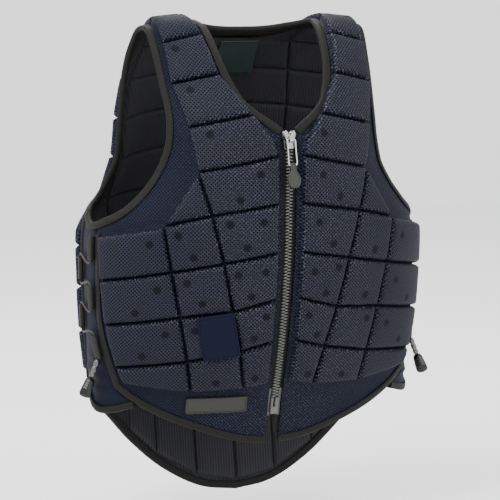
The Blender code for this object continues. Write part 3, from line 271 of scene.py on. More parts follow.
def half_sections(down):
    """Points round the body at each row, from its own centre line to the far one."""
    down = np.asarray(down, float)
    width = smooth(DOWN, WIDTH, down)[:, None]
    height = smooth(DOWN, HEIGHT, down)
    near = smooth(DOWN, DEPTH, down)[:, None]
    is_back = down < 0
    front_there, back_there = (
        smooth(DOWN, DEPTH, down_at_height(height, back)) for back in (False, True)
    )
    other = np.where(is_back, front_there, back_there)[:, None]
    near_power = np.where(is_back, BACK_SQUARENESS, 1.0)[:, None]
    far_power = np.where(is_back, 1.0, BACK_SQUARENESS)[:, None]
    back_way = QUARTER[-2::-1]
    x = np.hstack((width * np.sin(QUARTER) ** near_power, width * np.sin(back_way) ** far_power))
    y = np.hstack((near * np.cos(QUARTER) ** near_power, other * np.cos(back_way) ** far_power))
    return x, y, height


print("levels of the cloth, front and back:", len(DOWN))

# %% Places on the form
PROBE = 0.0006


def middle_surface(across, down):
    """Points of the padding's middle surface at places on the cloth."""
    x, y, height = half_sections(down)
    steps = np.hypot(np.diff(x, axis=1), np.diff(y, axis=1))
    round_it = np.concatenate((np.zeros((len(x), 1)), np.cumsum(steps, axis=1)), axis=1)
    reach = np.abs(across)
    px = np.array([np.interp(r, a, b) for r, a, b in zip(reach, round_it, x)])
    py = np.array([np.interp(r, a, b) for r, a, b in zip(reach, round_it, y)])
    slope = (px - NECK_HALF_WIDTH) / (STRAP_EDGE - NECK_HALF_WIDTH)
    near_crest = np.clip(1 - np.abs(down) / SHOULDER_ROUND, 0, 1) ** 2
    fall = SHOULDER_FALL * np.clip(slope, 0, 2) * near_crest
    return np.column_stack((np.sign(across) * px, py, height - fall))


def form_at(places):
    """Middle surface and outward direction at (across, down) places."""
    places = np.asarray(places, float).reshape(-1, 2)
    across, down = places[:, 0], places[:, 1]
    along = middle_surface(across + PROBE, down) - middle_surface(across - PROBE, down)
    ahead = middle_surface(across, down + PROBE) - middle_surface(across, down - PROBE)
    normal = np.cross(ahead, along)
    normal /= np.linalg.norm(normal, axis=1, keepdims=True)
    return middle_surface(across, down), normal


def cloth(places, lift=0.0):
    """Points at (across, down) places, stood out from the middle surface by lift."""
    base, normal = form_at(places)
    return base + normal * np.reshape(lift, (-1, 1))


def quarter_girth(down):
    """Distance round the cloth from the centre line to the side of the body."""
    x, y, _ = half_sections(np.atleast_1d(down))
    n = len(QUARTER)
    return float(np.hypot(np.diff(x[0, :n]), np.diff(y[0, :n])).sum())


def across_the_side(place, back):
    """What the back cloth, or else the front one, calls a place named from the other cloth."""
    across, down = place
    there = float(down_at_height(float(smooth(DOWN, HEIGHT, down)), back))
    full = quarter_girth(down) + quarter_girth(there)
    return (math.copysign(full - abs(across), across), there)


print("half girth at the chest:", round(2 * quarter_girth(0.20), 3))

# %% [markdown]
# ## The pattern's edges
#
# A tailor draws the neck, armhole, side and hem as curves through a few marks. The marks
# below are shares of the named sizes, so the pattern keeps its shape if a size changes. The
# same lines give the edge of the padding and the path of the tape that binds it.

# %% Pattern marks
NECK_DROP = 0.150
BACK_NECK_DROP = 0.030
ARMHOLE_DROP = 0.257
FRONT_HEM = 0.515
FRONT_HEM_SIDE = 0.444
BACK_HEM = 0.600
BACK_HEM_SIDE = 0.470
FRONT_SIDE = 0.229
FRONT_SIDE_LOW = 0.186
BACK_SIDE = 0.222
BACK_SIDE_LOW = 0.205
HEM_CORNER = 0.020
BACK_ARM_EDGE = 0.170
ZIP_EDGE = 0.008
ARM_FOOT_DIP = 0.002
ARM_FOOT_RISE = 0.008
WAIST_INSET = 0.012
WAIST_DROP = 0.020

Edge = namedtuple("Edge", "across down")


def edge_marks(*pairs):
    """Marks along one edge of the pattern, each a share across and a share down."""
    return tuple(Edge(*pair) for pair in pairs)


NECK_FRONT = edge_marks(
    (0.215, 0.960), (0.440, 0.880), (0.620, 0.795), (0.745, 0.660), (0.825, 0.520),
    (0.880, 0.345), (0.925, 0.150), (1.000, 0.000),
)
NECK_BACK = edge_marks(
    (1.000, 0.000), (0.900, 0.420), (0.620, 0.830), (0.300, 0.980), (0.000, 1.000),
)
ARM_FRONT = edge_marks(
    (-0.030, 0.000), (0.010, 0.190), (0.020, 0.380), (0.015, 0.540), (0.045, 0.640),
    (0.140, 0.735), (0.320, 0.840), (0.590, 0.935), (1.000, 1.000),
)
ARM_BACK = edge_marks(
    (-0.110, 0.000), (0.120, 0.150), (0.600, 0.300), (0.870, 0.440), (1.000, 0.600),
    (1.080, 0.770), (1.260, 0.900),
)
HEM_FRONT = edge_marks(
    (0.190, 0.950), (0.460, 0.730), (0.710, 0.460), (0.890, 0.200), (1.000, 0.000),
)
HEM_BACK = edge_marks(
    (0.000, 1.000), (0.200, 0.950), (0.430, 0.760), (0.640, 0.470), (0.800, 0.190),
    (0.935, 0.000),
)
print("front hem at", FRONT_HEM, "and back hem at", BACK_HEM)

# %% Draw the pattern's lines
LINE_STEP = 0.004


def run_along(line):
    """Distance along a line at each of its points."""
    steps = np.linalg.norm(np.diff(line, axis=0), axis=1)
    return np.concatenate(([0.0], np.cumsum(steps)))


def resampled(line, step):
    """The same line with points in equal steps."""
    run = run_along(line)
    at = np.linspace(0, run[-1], max(2, math.ceil(run[-1] / step) + 1))
    return np.column_stack([np.interp(at, run, line[:, k]) for k in range(line.shape[1])])


def curve(points, step=LINE_STEP):
    """Smooth open line through (across, down) points."""
    points = np.asarray(points, float)
    knots = run_along(points)
    fine = np.linspace(0, knots[-1], FINE_STEPS)
    dense = [
        hermite(knots, points[:, k], np.gradient(points[:, k], knots), fine) for k in (0, 1)
    ]
    return resampled(np.column_stack(dense), step)


def straight(start, end, step=LINE_STEP):
    """Points from start to end, both kept."""
    return resampled(np.array((start, end), float), step)


def mirrored(places):
    """The same places on the other side of the body."""
    return np.asarray(places) * (-1.0, 1.0)


def joined(*lines):
    """Lines run together, each starting where the last one ends."""
    return np.vstack([lines[0]] + [line[1:] for line in lines[1:]])


def inward(path):
    """Unit directions to the left of the way that the path runs."""
    tangent = np.gradient(path, axis=0)
    tangent /= np.hypot(tangent[:, 0], tangent[:, 1])[:, None]
    return np.column_stack((-tangent[:, 1], tangent[:, 0]))


def marks(table, start, end, drop, foot):
    """A table of marks, from shares to distances on the cloth."""
    return [(start + e.across * (end - start), drop + e.down * (foot - drop)) for e in table]


neck_front = curve([(ZIP_EDGE, NECK_DROP)] + marks(NECK_FRONT, 0, NECK_HALF_WIDTH, 0, NECK_DROP))
neck_back = curve(marks(NECK_BACK, 0, NECK_HALF_WIDTH, 0, -BACK_NECK_DROP))
arm_front = curve(marks(ARM_FRONT, STRAP_EDGE, FRONT_SIDE, 0, ARMHOLE_DROP))
behind = 2 * quarter_girth(ARMHOLE_DROP) - BACK_SIDE
arm_foot = curve(
    [
        (FRONT_SIDE, ARMHOLE_DROP),
        ((FRONT_SIDE + behind) / 2, ARMHOLE_DROP + ARM_FOOT_DIP),
        (behind, ARMHOLE_DROP - ARM_FOOT_RISE),
    ]
)
back_corner = across_the_side(arm_foot[-1], back=True)
arm_back = curve(marks(ARM_BACK, STRAP_EDGE, BACK_ARM_EDGE, 0, -ARMHOLE_DROP) + [back_corner])
hem_front = curve(
    [(ZIP_EDGE, FRONT_HEM)] + marks(HEM_FRONT, 0, FRONT_SIDE_LOW, FRONT_HEM_SIDE, FRONT_HEM)
)
side_middle = (FRONT_SIDE - WAIST_INSET, (FRONT_HEM_SIDE + ARMHOLE_DROP) / 2 + WAIST_DROP)
side_front = curve([(FRONT_SIDE_LOW, FRONT_HEM_SIDE), side_middle, (FRONT_SIDE, ARMHOLE_DROP)])
hem_back = curve(marks(HEM_BACK, 0, BACK_SIDE_LOW, -BACK_HEM_SIDE, -BACK_HEM))
side_back = curve(
    [
        (HEM_BACK[-1].across * BACK_SIDE_LOW, -BACK_HEM_SIDE),
        (BACK_SIDE_LOW, -BACK_HEM_SIDE + HEM_CORNER),
        (BACK_SIDE, -(BACK_HEM_SIDE + ARMHOLE_DROP) / 2),
        back_corner,
    ]
)
print("armhole tape:", round(run_along(arm_front)[-1] + run_along(arm_back)[-1], 3), "m")

# %% [markdown]
# ## The foam blocks
#
# The padding is not one slab. Foam blocks lie between the outer and the inner cloth, and the
# two cloths are joined along every gap, so the vest can bend. Each row below names where a
# seam crosses the zip, the strap line, the middle and the side. Shares keep the rows readable,
# and one function turns them into the corners of every block.

# %% Seams of the front
NECK_MARGIN = 0.0095
ARM_MARGIN = 0.0115
STRAP_ROWS = 3
WEDGE_ROW = 4
ZIP_MARGIN = 0.0045
ZIP_BLOCK_EDGE = ZIP_EDGE + ZIP_MARGIN
NECK_FOOT_SHARE = 0.7

FrontSeam = namedtuple("FrontSeam", "centre strap middle side strap_at middle_at side_at")
FRONT_SEAMS = (
    FrontSeam(0.004, 0.004, None, None, None, None, None),
    FrontSeam(0.078, 0.095, None, None, None, None, None),
    FrontSeam(0.173, 0.194, None, None, None, None, None),
    FrontSeam(0.262, 0.287, None, None, 0.480, None, None),
    FrontSeam(0.346, 0.381, None, None, 0.437, None, None),
    FrontSeam(0.447, 0.472, 0.495, 0.526, 0.376, 0.603, 0.953),
    FrontSeam(0.553, 0.573, 0.592, 0.621, 0.319, 0.563, 0.930),
    FrontSeam(0.654, 0.680, 0.691, 0.718, 0.266, 0.515, 0.888),
    FrontSeam(0.750, 0.771, 0.792, 0.812, 0.218, 0.467, 0.812),
    FrontSeam(0.850, 0.862, 0.866, 0.849, 0.179, 0.437, 0.765),
)


def across_at(line, down):
    """Where a line that runs steadily down the cloth crosses a row."""
    order = np.argsort(line[:, 1])
    return float(np.interp(down, line[order, 1], line[order, 0]))


def front_blocks():
    """Corners of each foam block in the wearer's left front half."""
    inner, strap, middle, side = [], [], [], []
    for row, seam in enumerate(FRONT_SEAMS):
        down = seam.centre * FRONT_HEM
        edge = ZIP_BLOCK_EDGE
        if row <= STRAP_ROWS:
            edge = across_at(neck_front, down) + NECK_MARGIN
        inner.append((edge, down))
        strap_at = STRAP_EDGE - ARM_MARGIN
        if seam.strap_at is not None:
            strap_at = seam.strap_at * FRONT_SIDE
        strap.append((strap_at, seam.strap * FRONT_HEM))
        if seam.middle is None:
            middle.append(None)
            side.append(None)
        else:
            middle.append((seam.middle_at * FRONT_SIDE, seam.middle * FRONT_HEM))
            side.append((seam.side_at * FRONT_SIDE, seam.side * FRONT_HEM))
    blocks = []
    for row in range(len(FRONT_SEAMS) - 1):
        corners = [inner[row], strap[row], strap[row + 1], inner[row + 1]]
        if row == STRAP_ROWS:
            foot = ZIP_BLOCK_EDGE + NECK_MARGIN * NECK_FOOT_SHARE
            corners.append((foot, NECK_DROP + NECK_MARGIN))
        blocks.append(corners)
    blocks.append([strap[WEDGE_ROW], middle[WEDGE_ROW + 1], strap[WEDGE_ROW + 1]])
    for row in range(WEDGE_ROW + 1, len(FRONT_SEAMS) - 1):
        blocks.append([strap[row], middle[row], middle[row + 1], strap[row + 1]])
        blocks.append([middle[row], side[row], side[row + 1], middle[row + 1]])
    return blocks


print("blocks in each front:", len(front_blocks()))

# %% Seams of the back
TAPE_COVER = 0.0070
TAIL_MARGIN = 0.0035
TAIL_RIM = TAPE_COVER + TAIL_MARGIN
SIDE_ROWS = (4, 8)
TAIL_OUTER = 0.610
TAIL_DROOP = 0.008

BackSeam = namedtuple("BackSeam", "centre spine blade side spine_at blade_at side_at")
BACK_SEAMS = (
    BackSeam(0.068, 0.076, 0.083, None, 0.290, 0.545, None),
    BackSeam(0.132, 0.143, 0.157, None, 0.318, 0.650, None),
    BackSeam(0.208, 0.218, 0.238, None, 0.338, 0.700, None),
    BackSeam(0.287, 0.297, 0.317, None, 0.338, 0.722, None),
    BackSeam(0.370, 0.377, 0.393, 0.452, 0.325, 0.738, 0.945),
    BackSeam(0.458, 0.463, 0.470, 0.484, 0.306, 0.676, 0.948),
    BackSeam(0.547, 0.550, 0.555, 0.563, 0.288, 0.617, 0.940),
    BackSeam(0.633, 0.637, 0.642, 0.647, 0.266, 0.559, 0.925),
    BackSeam(0.720, 0.722, 0.725, 0.728, 0.245, 0.505, 0.880),
    BackSeam(0.807, 0.807, 0.803, None, 0.225, 0.450, None),
)


def back_place(at, down):
    """A place on the back, from shares of its side and of its hem."""
    return (at * BACK_SIDE, -down * BACK_HEM)


def above_hem(across):
    """The foot of a tail block, just above the hem's tape."""
    return (across, float(np.interp(across, hem_back[:, 0], hem_back[:, 1])) + TAIL_RIM)


def back_halves():
    """Corners of each block on the wearer's left half of the back."""
    spine = [back_place(s.spine_at, s.spine) for s in BACK_SEAMS]
    blade = [back_place(s.blade_at, s.blade) for s in BACK_SEAMS]
    crest = -FRONT_SEAMS[0].centre * FRONT_HEM
    shoulder = [(NECK_HALF_WIDTH + NECK_MARGIN, crest), (STRAP_EDGE - ARM_MARGIN, crest)]
    halves = [shoulder + [blade[0], spine[0]]]
    for row in range(len(BACK_SEAMS) - 1):
        halves.append([spine[row], blade[row], blade[row + 1], spine[row + 1]])
        if SIDE_ROWS[0] <= row < SIDE_ROWS[1]:
            near, far = BACK_SEAMS[row], BACK_SEAMS[row + 1]
            outer = [back_place(near.side_at, near.side), back_place(far.side_at, far.side)]
            halves.append([blade[row]] + outer + [blade[row + 1]])
    tail = [(0.0, -BACK_SEAMS[-1].centre * BACK_HEM), spine[-1], blade[-1]]
    tail.append((TAIL_OUTER * BACK_SIDE, blade[-1][1] + TAIL_DROOP))
    for left, right in zip(tail, tail[1:]):
        halves.append([left, right, above_hem(right[0]), above_hem(left[0])])
    return halves


def back_blocks():
    """Both halves, and the middle column that crosses the centre line."""
    blocks = []
    for corners in back_halves():
        blocks.append(corners)
        blocks.append([(-a, d) for a, d in corners])
    for top, low in zip(BACK_SEAMS, BACK_SEAMS[1:]):
        upper = back_place(top.spine_at, top.spine)
        lower = back_place(low.spine_at, low.spine)
        left = [(-upper[0], upper[1]), (0.0, -top.centre * BACK_HEM), upper]
        blocks.append(left + [lower, (0.0, -low.centre * BACK_HEM), (-lower[0], lower[1])])
    return blocks


print("blocks in the back:", len(back_blocks()))

# %% [markdown]
# ## A quilted panel
#
# A block's edge must be crisp, so a plain displaced grid is a poor choice: its squares would
# cut across the seams. Instead each block gets its own rings, the first on the seam and the
# next ones stepping inwards and upwards, and one triangulation joins them all. Small rings mark
# the vents, the groups of holes that let a rider's heat out. The outer and inner skins share
# this net, and rise by different amounts.

# %% Rings of a block
OUTER_RISE = 0.0115
INNER_RISE = 0.0065
WEB_HALF = 0.0015
CROWN = 0.0016
CROWN_REACH = 0.014
CELL = 0.0060
Ring = namedtuple("Ring", "inset rise")
BLOCK_RINGS = (
    Ring(0.0000, 0.00),
    Ring(0.0007, 0.34),
    Ring(0.0017, 0.66),
    Ring(0.0030, 0.86),
    Ring(0.0047, 0.97),
    Ring(0.0066, 1.00),
)
VENT_RADII = (0.0018, 0.0038, 0.0052)
VENT_SINKS = (1.0, 0.75, 0.0)
VENT_SIDES = 7
VENT_DEPTH = 0.0005
VENT_SHARES = ((0.25, 0.34), (0.74, 0.30), (0.50, 0.72))
CELL_MARGIN = CELL * 0.45
VENT_MARGIN = CELL * 0.3


def circle(count):
    """Points round a unit circle."""
    turns = np.linspace(0, 2 * math.pi, count, endpoint=False)
    return np.column_stack((np.cos(turns), np.sin(turns)))


def signed_area(outline):
    """Area of a closed outline, which is negative if it runs clockwise."""
    x, y = np.asarray(outline, float).T
    return float(np.sum(x * np.roll(y, -1) - y * np.roll(x, -1))) / 2


def inset_polygon(corners, distance):
    """Corners moved inward so that every side lies distance from where it was."""
    corners = np.asarray(corners, float)
    turn = math.copysign(1.0, signed_area(corners))
    result = []
    for before, here, after in zip(np.roll(corners, 1, 0), corners, np.roll(corners, -1, 0)):
        one = (here - before) / np.hypot(*(here - before))
        two = (after - here) / np.hypot(*(after - here))
        normal_one = np.array((-one[1], one[0])) * turn
        normal_two = np.array((-two[1], two[0])) * turn
        result.append(here + (normal_one + normal_two) / (1 + normal_one @ normal_two) * distance)
    return np.array(result)


def edge_distance(corners, places):
    """How far inside a convex polygon each place lies, negative outside."""
    corners = np.asarray(corners, float)
    turn = math.copysign(1.0, signed_area(corners))
    distance = np.full(len(places), np.inf)
    for a, b in zip(corners, np.roll(corners, -1, 0)):
        way = (b - a) / np.hypot(*(b - a))
        side = way[0] * (places[:, 1] - a[1]) - way[1] * (places[:, 0] - a[0])
        distance = np.minimum(distance, side * turn)
    return distance


def within(outline, places):
    """Whether each place lies inside any closed outline."""
    crossings = np.zeros(len(places), int)
    for a, b in zip(outline, np.roll(outline, -1, 0)):
        spans = (a[1] > places[:, 1]) != (b[1] > places[:, 1])
        if not spans.any():
            continue
        at = a[0] + (places[:, 1] - a[1]) / (b[1] - a[1]) * (b[0] - a[0])
        crossings += spans & (at > places[:, 0])
    return crossings % 2 == 1


def grid_over(corners, step):
    """A square grid of places over the box round some corners."""
    low, high = np.min(corners, 0), np.max(corners, 0)
    counts = np.maximum(2, np.ceil((high - low) / step).astype(int) + 1)
    across = np.linspace(low[0], high[0], counts[0])
    down = np.linspace(low[1], high[1], counts[1])
    return np.stack(np.meshgrid(across, down), -1).reshape(-1, 2)


print("rings round each block:", len(BLOCK_RINGS))

# %% Gather the net of one panel


class Net:
    """Places on the cloth with their rise, vent and edges, gathered for one triangulation."""

    def __init__(self):
        self.places = []
        self.edges = []
        self.rise = []
        self.vent = []

    def add(self, places, rise, vent=0.0, ring=False):
        """Keep some places, and the edges between them where they run round a ring."""
        start, count = len(self.places), len(places)
        self.places.extend(map(tuple, places))
        self.rise.extend(np.broadcast_to(rise, count))
        self.vent.extend([vent] * count)
        if ring:
            self.edges.extend((start + i, start + (i + 1) % count) for i in range(count))

    def add_vents(self, corners):
        """Rings that sink a little where a group of holes goes through the foam."""
        box_low, box_high = np.min(corners, 0), np.max(corners, 0)
        found = []
        for share in VENT_SHARES:
            middle = box_low + (box_high - box_low) * share
            if edge_distance(corners, middle[None])[0] < BLOCK_RINGS[-1].inset + VENT_RADII[-1]:
                continue
            for radius, depth in zip(VENT_RADII, VENT_SINKS):
                self.add(middle + circle(VENT_SIDES) * radius, 1.0, depth)
            found.append(middle)
        return found

    def add_block(self, corners):
        """Rings that climb a block's edge, its vents, and a grid over its top."""
        for level in BLOCK_RINGS:
            edge = inset_polygon(corners, level.inset)
            rounds = [straight(a, b, CELL)[:-1] for a, b in zip(edge, np.roll(edge, -1, 0))]
            self.add(np.vstack(rounds), level.rise, ring=True)
        vents = self.add_vents(corners)
        places = grid_over(corners, CELL)
        depth = edge_distance(corners, places)
        keep = depth > BLOCK_RINGS[-1].inset + CELL_MARGIN
        for middle in vents:
            keep &= np.hypot(*(places - middle).T) > VENT_RADII[-1] + VENT_MARGIN
        self.add(places[keep], 1.0)

    def fill_flats(self, outline, blocks):
        """Points over the flat cloth, so that it follows the form there too."""
        places = grid_over(outline, CELL)
        places = places[within(outline, places)]
        for corners in blocks:
            places = places[edge_distance(corners, places) < 0]
        tree = kdtree.KDTree(len(self.places))
        for i, place in enumerate(self.places):
            tree.insert((*place, 0.0), i)
        tree.balance()
        clear = [p for p in places if tree.find((*p, 0.0))[2] > CELL_MARGIN]
        if clear:
            self.add(np.array(clear), 0.0)

    def triangulated(self):
        """Places, rise, vent and triangles."""
        vectors = [Vector(p) for p in self.places]
        result = delaunay_2d_cdt(vectors, self.edges, [], 1, 1e-6)
        places = np.array([tuple(v) for v in result[0]])
        rise = np.array([max((self.rise[i] for i in o), default=0.0) for o in result[3]])
        vent = np.array([max((self.vent[i] for i in o), default=0.0) for o in result[3]])
        return places, rise, vent, [tuple(f) for f in result[2]]


print("net cell:", CELL * 1000, "mm")

# %% Meshes with cloth coordinates


def new_mesh(name, points, faces, materials, slots=None, sharp=None):
    """A mesh object on the vest, smooth except at edges over the sharp angle."""
    mesh = bpy.data.meshes.new(name)
    mesh.from_pydata(np.asarray(points, float).tolist(), [], faces)
    for material in materials:
        mesh.materials.append(material)
    if slots is not None:
        mesh.polygons.foreach_set("material_index", slots)
    mesh.shade_smooth()
    if sharp is not None:
        mesh.set_sharp_from_angle(angle=math.radians(sharp))
    thing = bpy.data.objects.new(name, mesh)
    bpy.context.scene.collection.objects.link(thing)
    return thing


def lay_out(thing, places):
    """Store each point's place on the cloth as a UV map in metres."""
    mesh = thing.data
    layer = mesh.uv_layers.new(name="cloth")
    corner = np.empty(len(mesh.loops), int)
    mesh.loops.foreach_get("vertex_index", corner)
    layer.data.foreach_set("uv", np.asarray(places, float)[corner].ravel())


def note_points(thing, name, values):
    """Store one number for each point, for a material to read."""
    attribute = thing.data.attributes.new(name, "FLOAT", "POINT")
    attribute.data.foreach_set("value", np.asarray(values, float))


def outward_faces(thing):
    """Turn every face of a closed shell to look outward."""
    shape = bmesh.new()
    shape.from_mesh(thing.data)
    bmesh.ops.recalc_face_normals(shape, faces=shape.faces)
    shape.to_mesh(thing.data)
    shape.free()


EASE_DEPTH = 0.0005
EASE_WAVE = 26.0


def eased(places, layer):
    """A little unevenness, as hand-laid foam and cloth have."""
    return np.array(
        [EASE_DEPTH * noise.noise((a * EASE_WAVE, d * EASE_WAVE, layer)) for a, d in places]
    )


print("unevenness:", EASE_DEPTH * 1000, "mm")

# %% One quilted panel
OUTER_LAYER = 1.0
INNER_LAYER = 7.0
INNER_CROWN_SHARE = 0.5


def quilted_panel(name, outline, blocks, materials, web=WEB_HALF, folds=None):
    """Outer cloth, inner lining and the edge between them, as one closed skin."""
    net = Net()
    net.add(outline, 0.0, ring=True)
    for corners in blocks:
        net.add_block(corners)
    net.fill_flats(outline, blocks)
    places, rise, vent, triangles = net.triangulated()
    depth = np.zeros(len(places))
    for corners in blocks:
        depth = np.maximum(depth, edge_distance(corners, places))
    crown = CROWN * (1 - np.exp(-depth / CROWN_REACH)) * (rise > 0)
    base, normal = form_at(places)
    outer = web + (OUTER_RISE - web) * rise + crown - VENT_DEPTH * vent
    outer += eased(places, OUTER_LAYER)
    inner = web + (INNER_RISE - web) * rise + crown * INNER_CROWN_SHARE
    inner += eased(places, INNER_LAYER)
    if folds:
        outer += folds(places)
        inner -= folds(places)
    points = np.vstack((base + normal * outer[:, None], base - normal * inner[:, None]))
    count = len(places)
    faces, slots, border = [], [], {}
    for a, b, c in triangles:
        faces.extend(((a, b, c), (c + count, b + count, a + count)))
        slots.extend((0, 1))
        border.update(dict.fromkeys(((a, b), (b, c), (c, a))))
    for a, b in border:
        if (b, a) not in border:
            faces.append((b, a, a + count, b + count))
            slots.append(0)
    panel = new_mesh(name, points, faces, materials, slots)
    lay_out(panel, np.vstack((places, places)))
    note_points(panel, "block", np.concatenate((rise, rise)))
    note_points(panel, "vent", np.concatenate((vent, np.zeros(count))))
    outward_faces(panel)
    print(name, len(faces), "faces")
    return panel

# %% [markdown]
# ## Finishes for the cloths
#
# Air mesh is a knitted cloth with a hole at each crossing of its threads. Two crossed waves
# over the cloth's own coordinates give that lattice in millimetres, and the product of the
# waves peaks at each hole. The same number darkens the colour and sinks the bump, so light
# and shadow agree. A block's top is painted greyer than the flat cloth. Part of this is painted
# light where the top faces the lamps, and part is its stretched threads. The stored block number
# mixes the two colours.

# %% Small shader helpers


def wire(tree, value, socket):
    """Link a socket, or set a plain number, on an input."""
    if isinstance(value, bpy.types.NodeSocket):
        tree.links.new(value, socket)
    else:
        socket.default_value = value


def maths(tree, operation, first, second=0.0, third=0.0):
    """The result of one sum on sockets or numbers."""
    node = tree.nodes.new("ShaderNodeMath")
    node.operation = operation
    for value, socket in zip((first, second, third), node.inputs):
        wire(tree, value, socket)
    return node.outputs[0]


def blend_colours(tree, share, first, second):
    """Colour that runs from the first to the second with share."""
    node = tree.nodes.new("ShaderNodeMix")
    node.data_type = "RGBA"
    wire(tree, share, node.inputs["Factor"])
    for value, socket in ((first, node.inputs["A"]), (second, node.inputs["B"])):
        wire(tree, value if isinstance(value, bpy.types.NodeSocket) else (*value, 1.0), socket)
    return node.outputs["Result"]


def cloth_place(tree):
    """Across and down on the cloth, in metres."""
    uv = tree.nodes.new("ShaderNodeUVMap")
    uv.uv_map = "cloth"
    split = tree.nodes.new("ShaderNodeSeparateXYZ")
    tree.links.new(uv.outputs["UV"], split.inputs[0])
    return uv.outputs["UV"], split.outputs["X"], split.outputs["Y"]


def one_less(tree, share):
    """What is left of 1 when a share is taken off."""
    return maths(tree, "SUBTRACT", 1.0, share)


def point_number(tree, name):
    """A number that the mesh stores for each point."""
    node = tree.nodes.new("ShaderNodeAttribute")
    node.attribute_name = name
    return node.outputs["Fac"]


def cloud(tree, vector, scale, detail=2.0):
    """Soft noise from 0 to 1."""
    node = tree.nodes.new("ShaderNodeTexNoise")
    wire(tree, vector, node.inputs["Vector"])
    node.inputs["Scale"].default_value = scale
    node.inputs["Detail"].default_value = detail
    return node.outputs["Fac"]


def object_place(tree):
    """A place in the piece's own frame, in metres."""
    return tree.nodes.new("ShaderNodeTexCoord").outputs["Object"]


def colour_by(tree, shader, share, first, second):
    """Give the shader a colour that runs from the first to the second with share."""
    tree.links.new(blend_colours(tree, share, first, second), shader.inputs["Base Color"])


def sink(tree, shader, height, distance, strength=1.0):
    """Bump from a height of 0 to 1, in metres."""
    node = tree.nodes.new("ShaderNodeBump")
    node.inputs["Distance"].default_value = distance
    node.inputs["Strength"].default_value = strength
    wire(tree, height, node.inputs["Height"])
    tree.links.new(node.outputs["Normal"], shader.inputs["Normal"])


def ramped(tree, value, low, high):
    """0 below low, 1 above high and smooth between them."""
    node = tree.nodes.new("ShaderNodeMapRange")
    node.interpolation_type = "SMOOTHSTEP"
    wire(tree, value, node.inputs["Value"])
    node.inputs["From Min"].default_value = low
    node.inputs["From Max"].default_value = high
    return node.outputs["Result"]


def lattice(tree, across, down, pitch):
    """1 at each hole of a diagonal net of holes, 0 between them."""
    turn = 2 * math.pi / (math.sqrt(2) * pitch)
    first = maths(tree, "COSINE", maths(tree, "MULTIPLY", maths(tree, "ADD", across, down), turn))
    other = maths(tree, "SUBTRACT", across, down)
    second = maths(tree, "COSINE", maths(tree, "MULTIPLY", other, turn))
    halves = [maths(tree, "MULTIPLY_ADD", wave, 0.5, 0.5) for wave in (first, second)]
    return maths(tree, "MULTIPLY", halves[0], halves[1])


print("shader helpers ready")

# %% Air mesh
MESH_PITCH = 0.0029
MESH_DEPTH = 0.0005
HOLE_EDGE = (0.12, 0.50)
VENT_OPENS = 2.6
VENT_DARKENS = 0.66
BLOCK_TOP = (0.45, 1.0)
# Painted glints: noise picks a few threads, and these shares set how many glint on the flats, on
# the blocks' rolled edges and near the zip.
THREAD_SCALE = 620.0
GLINTING_THREADS = (0.50, 0.72)
BLOCK_CORNER = (0.50, 0.85)
CORNER_GLINT = 3.0
PLAIN_GLINT = 0.08
ZIP_GLINT = 0.24
ZIP_GLINT_REACH = (0.03, 0.15)
PATCH_SCALE = 9.0
PATCH_EDGE = (0.30, 0.75)
PATCH_SHARE = 0.30


def air_mesh(name, flat, raised, hole, glint):
    """Knitted mesh: dark holes in a diagonal net, with painted glints on a few threads."""
    material, shader, tree = paint(name, raised, 0.62, specular=0.07)
    place, across, down = cloth_place(tree)
    vent, block = point_number(tree, "vent"), point_number(tree, "block")
    widened = maths(tree, "ADD", 1.0, maths(tree, "MULTIPLY", vent, VENT_OPENS))
    holes = maths(tree, "MULTIPLY", lattice(tree, across, down, MESH_PITCH), widened)
    open_share = ramped(tree, holes, *HOLE_EDGE)
    # Painted light: block tops take the lighter raised colour, as if lit, and the flats take the
    # plain navy. Part of it is also the tops' stretched threads.
    thread = blend_colours(tree, ramped(tree, block, *BLOCK_TOP), flat, raised)
    # Painted highlights: a few threads take the glint colour, most of them on the blocks' rolled
    # edges and near the zip.
    bright = ramped(tree, cloud(tree, place, THREAD_SCALE, 1.0), *GLINTING_THREADS)
    corner = maths(tree, "MULTIPLY", ramped(tree, block, *BLOCK_CORNER), one_less(tree, block))
    glint_share = maths(tree, "MULTIPLY_ADD", corner, CORNER_GLINT, PLAIN_GLINT)
    near_zip = one_less(tree, ramped(tree, maths(tree, "ABSOLUTE", across), *ZIP_GLINT_REACH))
    glint_share = maths(tree, "MULTIPLY_ADD", near_zip, ZIP_GLINT, glint_share)
    thread = blend_colours(tree, maths(tree, "MULTIPLY", bright, glint_share), thread, glint)
    patchy = ramped(tree, cloud(tree, place, PATCH_SCALE), *PATCH_EDGE)
    thread = blend_colours(tree, maths(tree, "MULTIPLY", patchy, PATCH_SHARE), thread, flat)
    shaded = blend_colours(tree, maths(tree, "MULTIPLY", vent, VENT_DARKENS), thread, hole)
    colour_by(tree, shader, open_share, shaded, hole)
    sink(tree, shader, one_less(tree, open_share), MESH_DEPTH, 0.8)
    return material


# The raised colour is partly painted light on the block tops and partly their stretched threads.
NAVY_FLAT = (0.0052, 0.0066, 0.0165)
NAVY_LIT_RAISED = (0.0128, 0.0140, 0.0225)
HOLE_DARK = (0.0004, 0.0005, 0.0012)
THREAD_GLINT = (0.110, 0.116, 0.132)
outer_mesh = air_mesh("navy_air_mesh", NAVY_FLAT, NAVY_LIT_RAISED, HOLE_DARK, THREAD_GLINT)
print("mesh holes every", MESH_PITCH * 1000, "mm")

# %% Ribbed lining
LINING_DARK = (0.0120, 0.0122, 0.0150)
# Darker colour for painted shade in the rib grooves.
LINING_GROOVE_SHADE = (0.0034, 0.0035, 0.0048)
RIB_PITCH = 0.0034
RIB_EDGE = (-0.9, 0.6)
RIB_DEPTH = 0.0003
LINING_GRAIN = 900.0
LINING_GRAIN_SHARE = 0.3


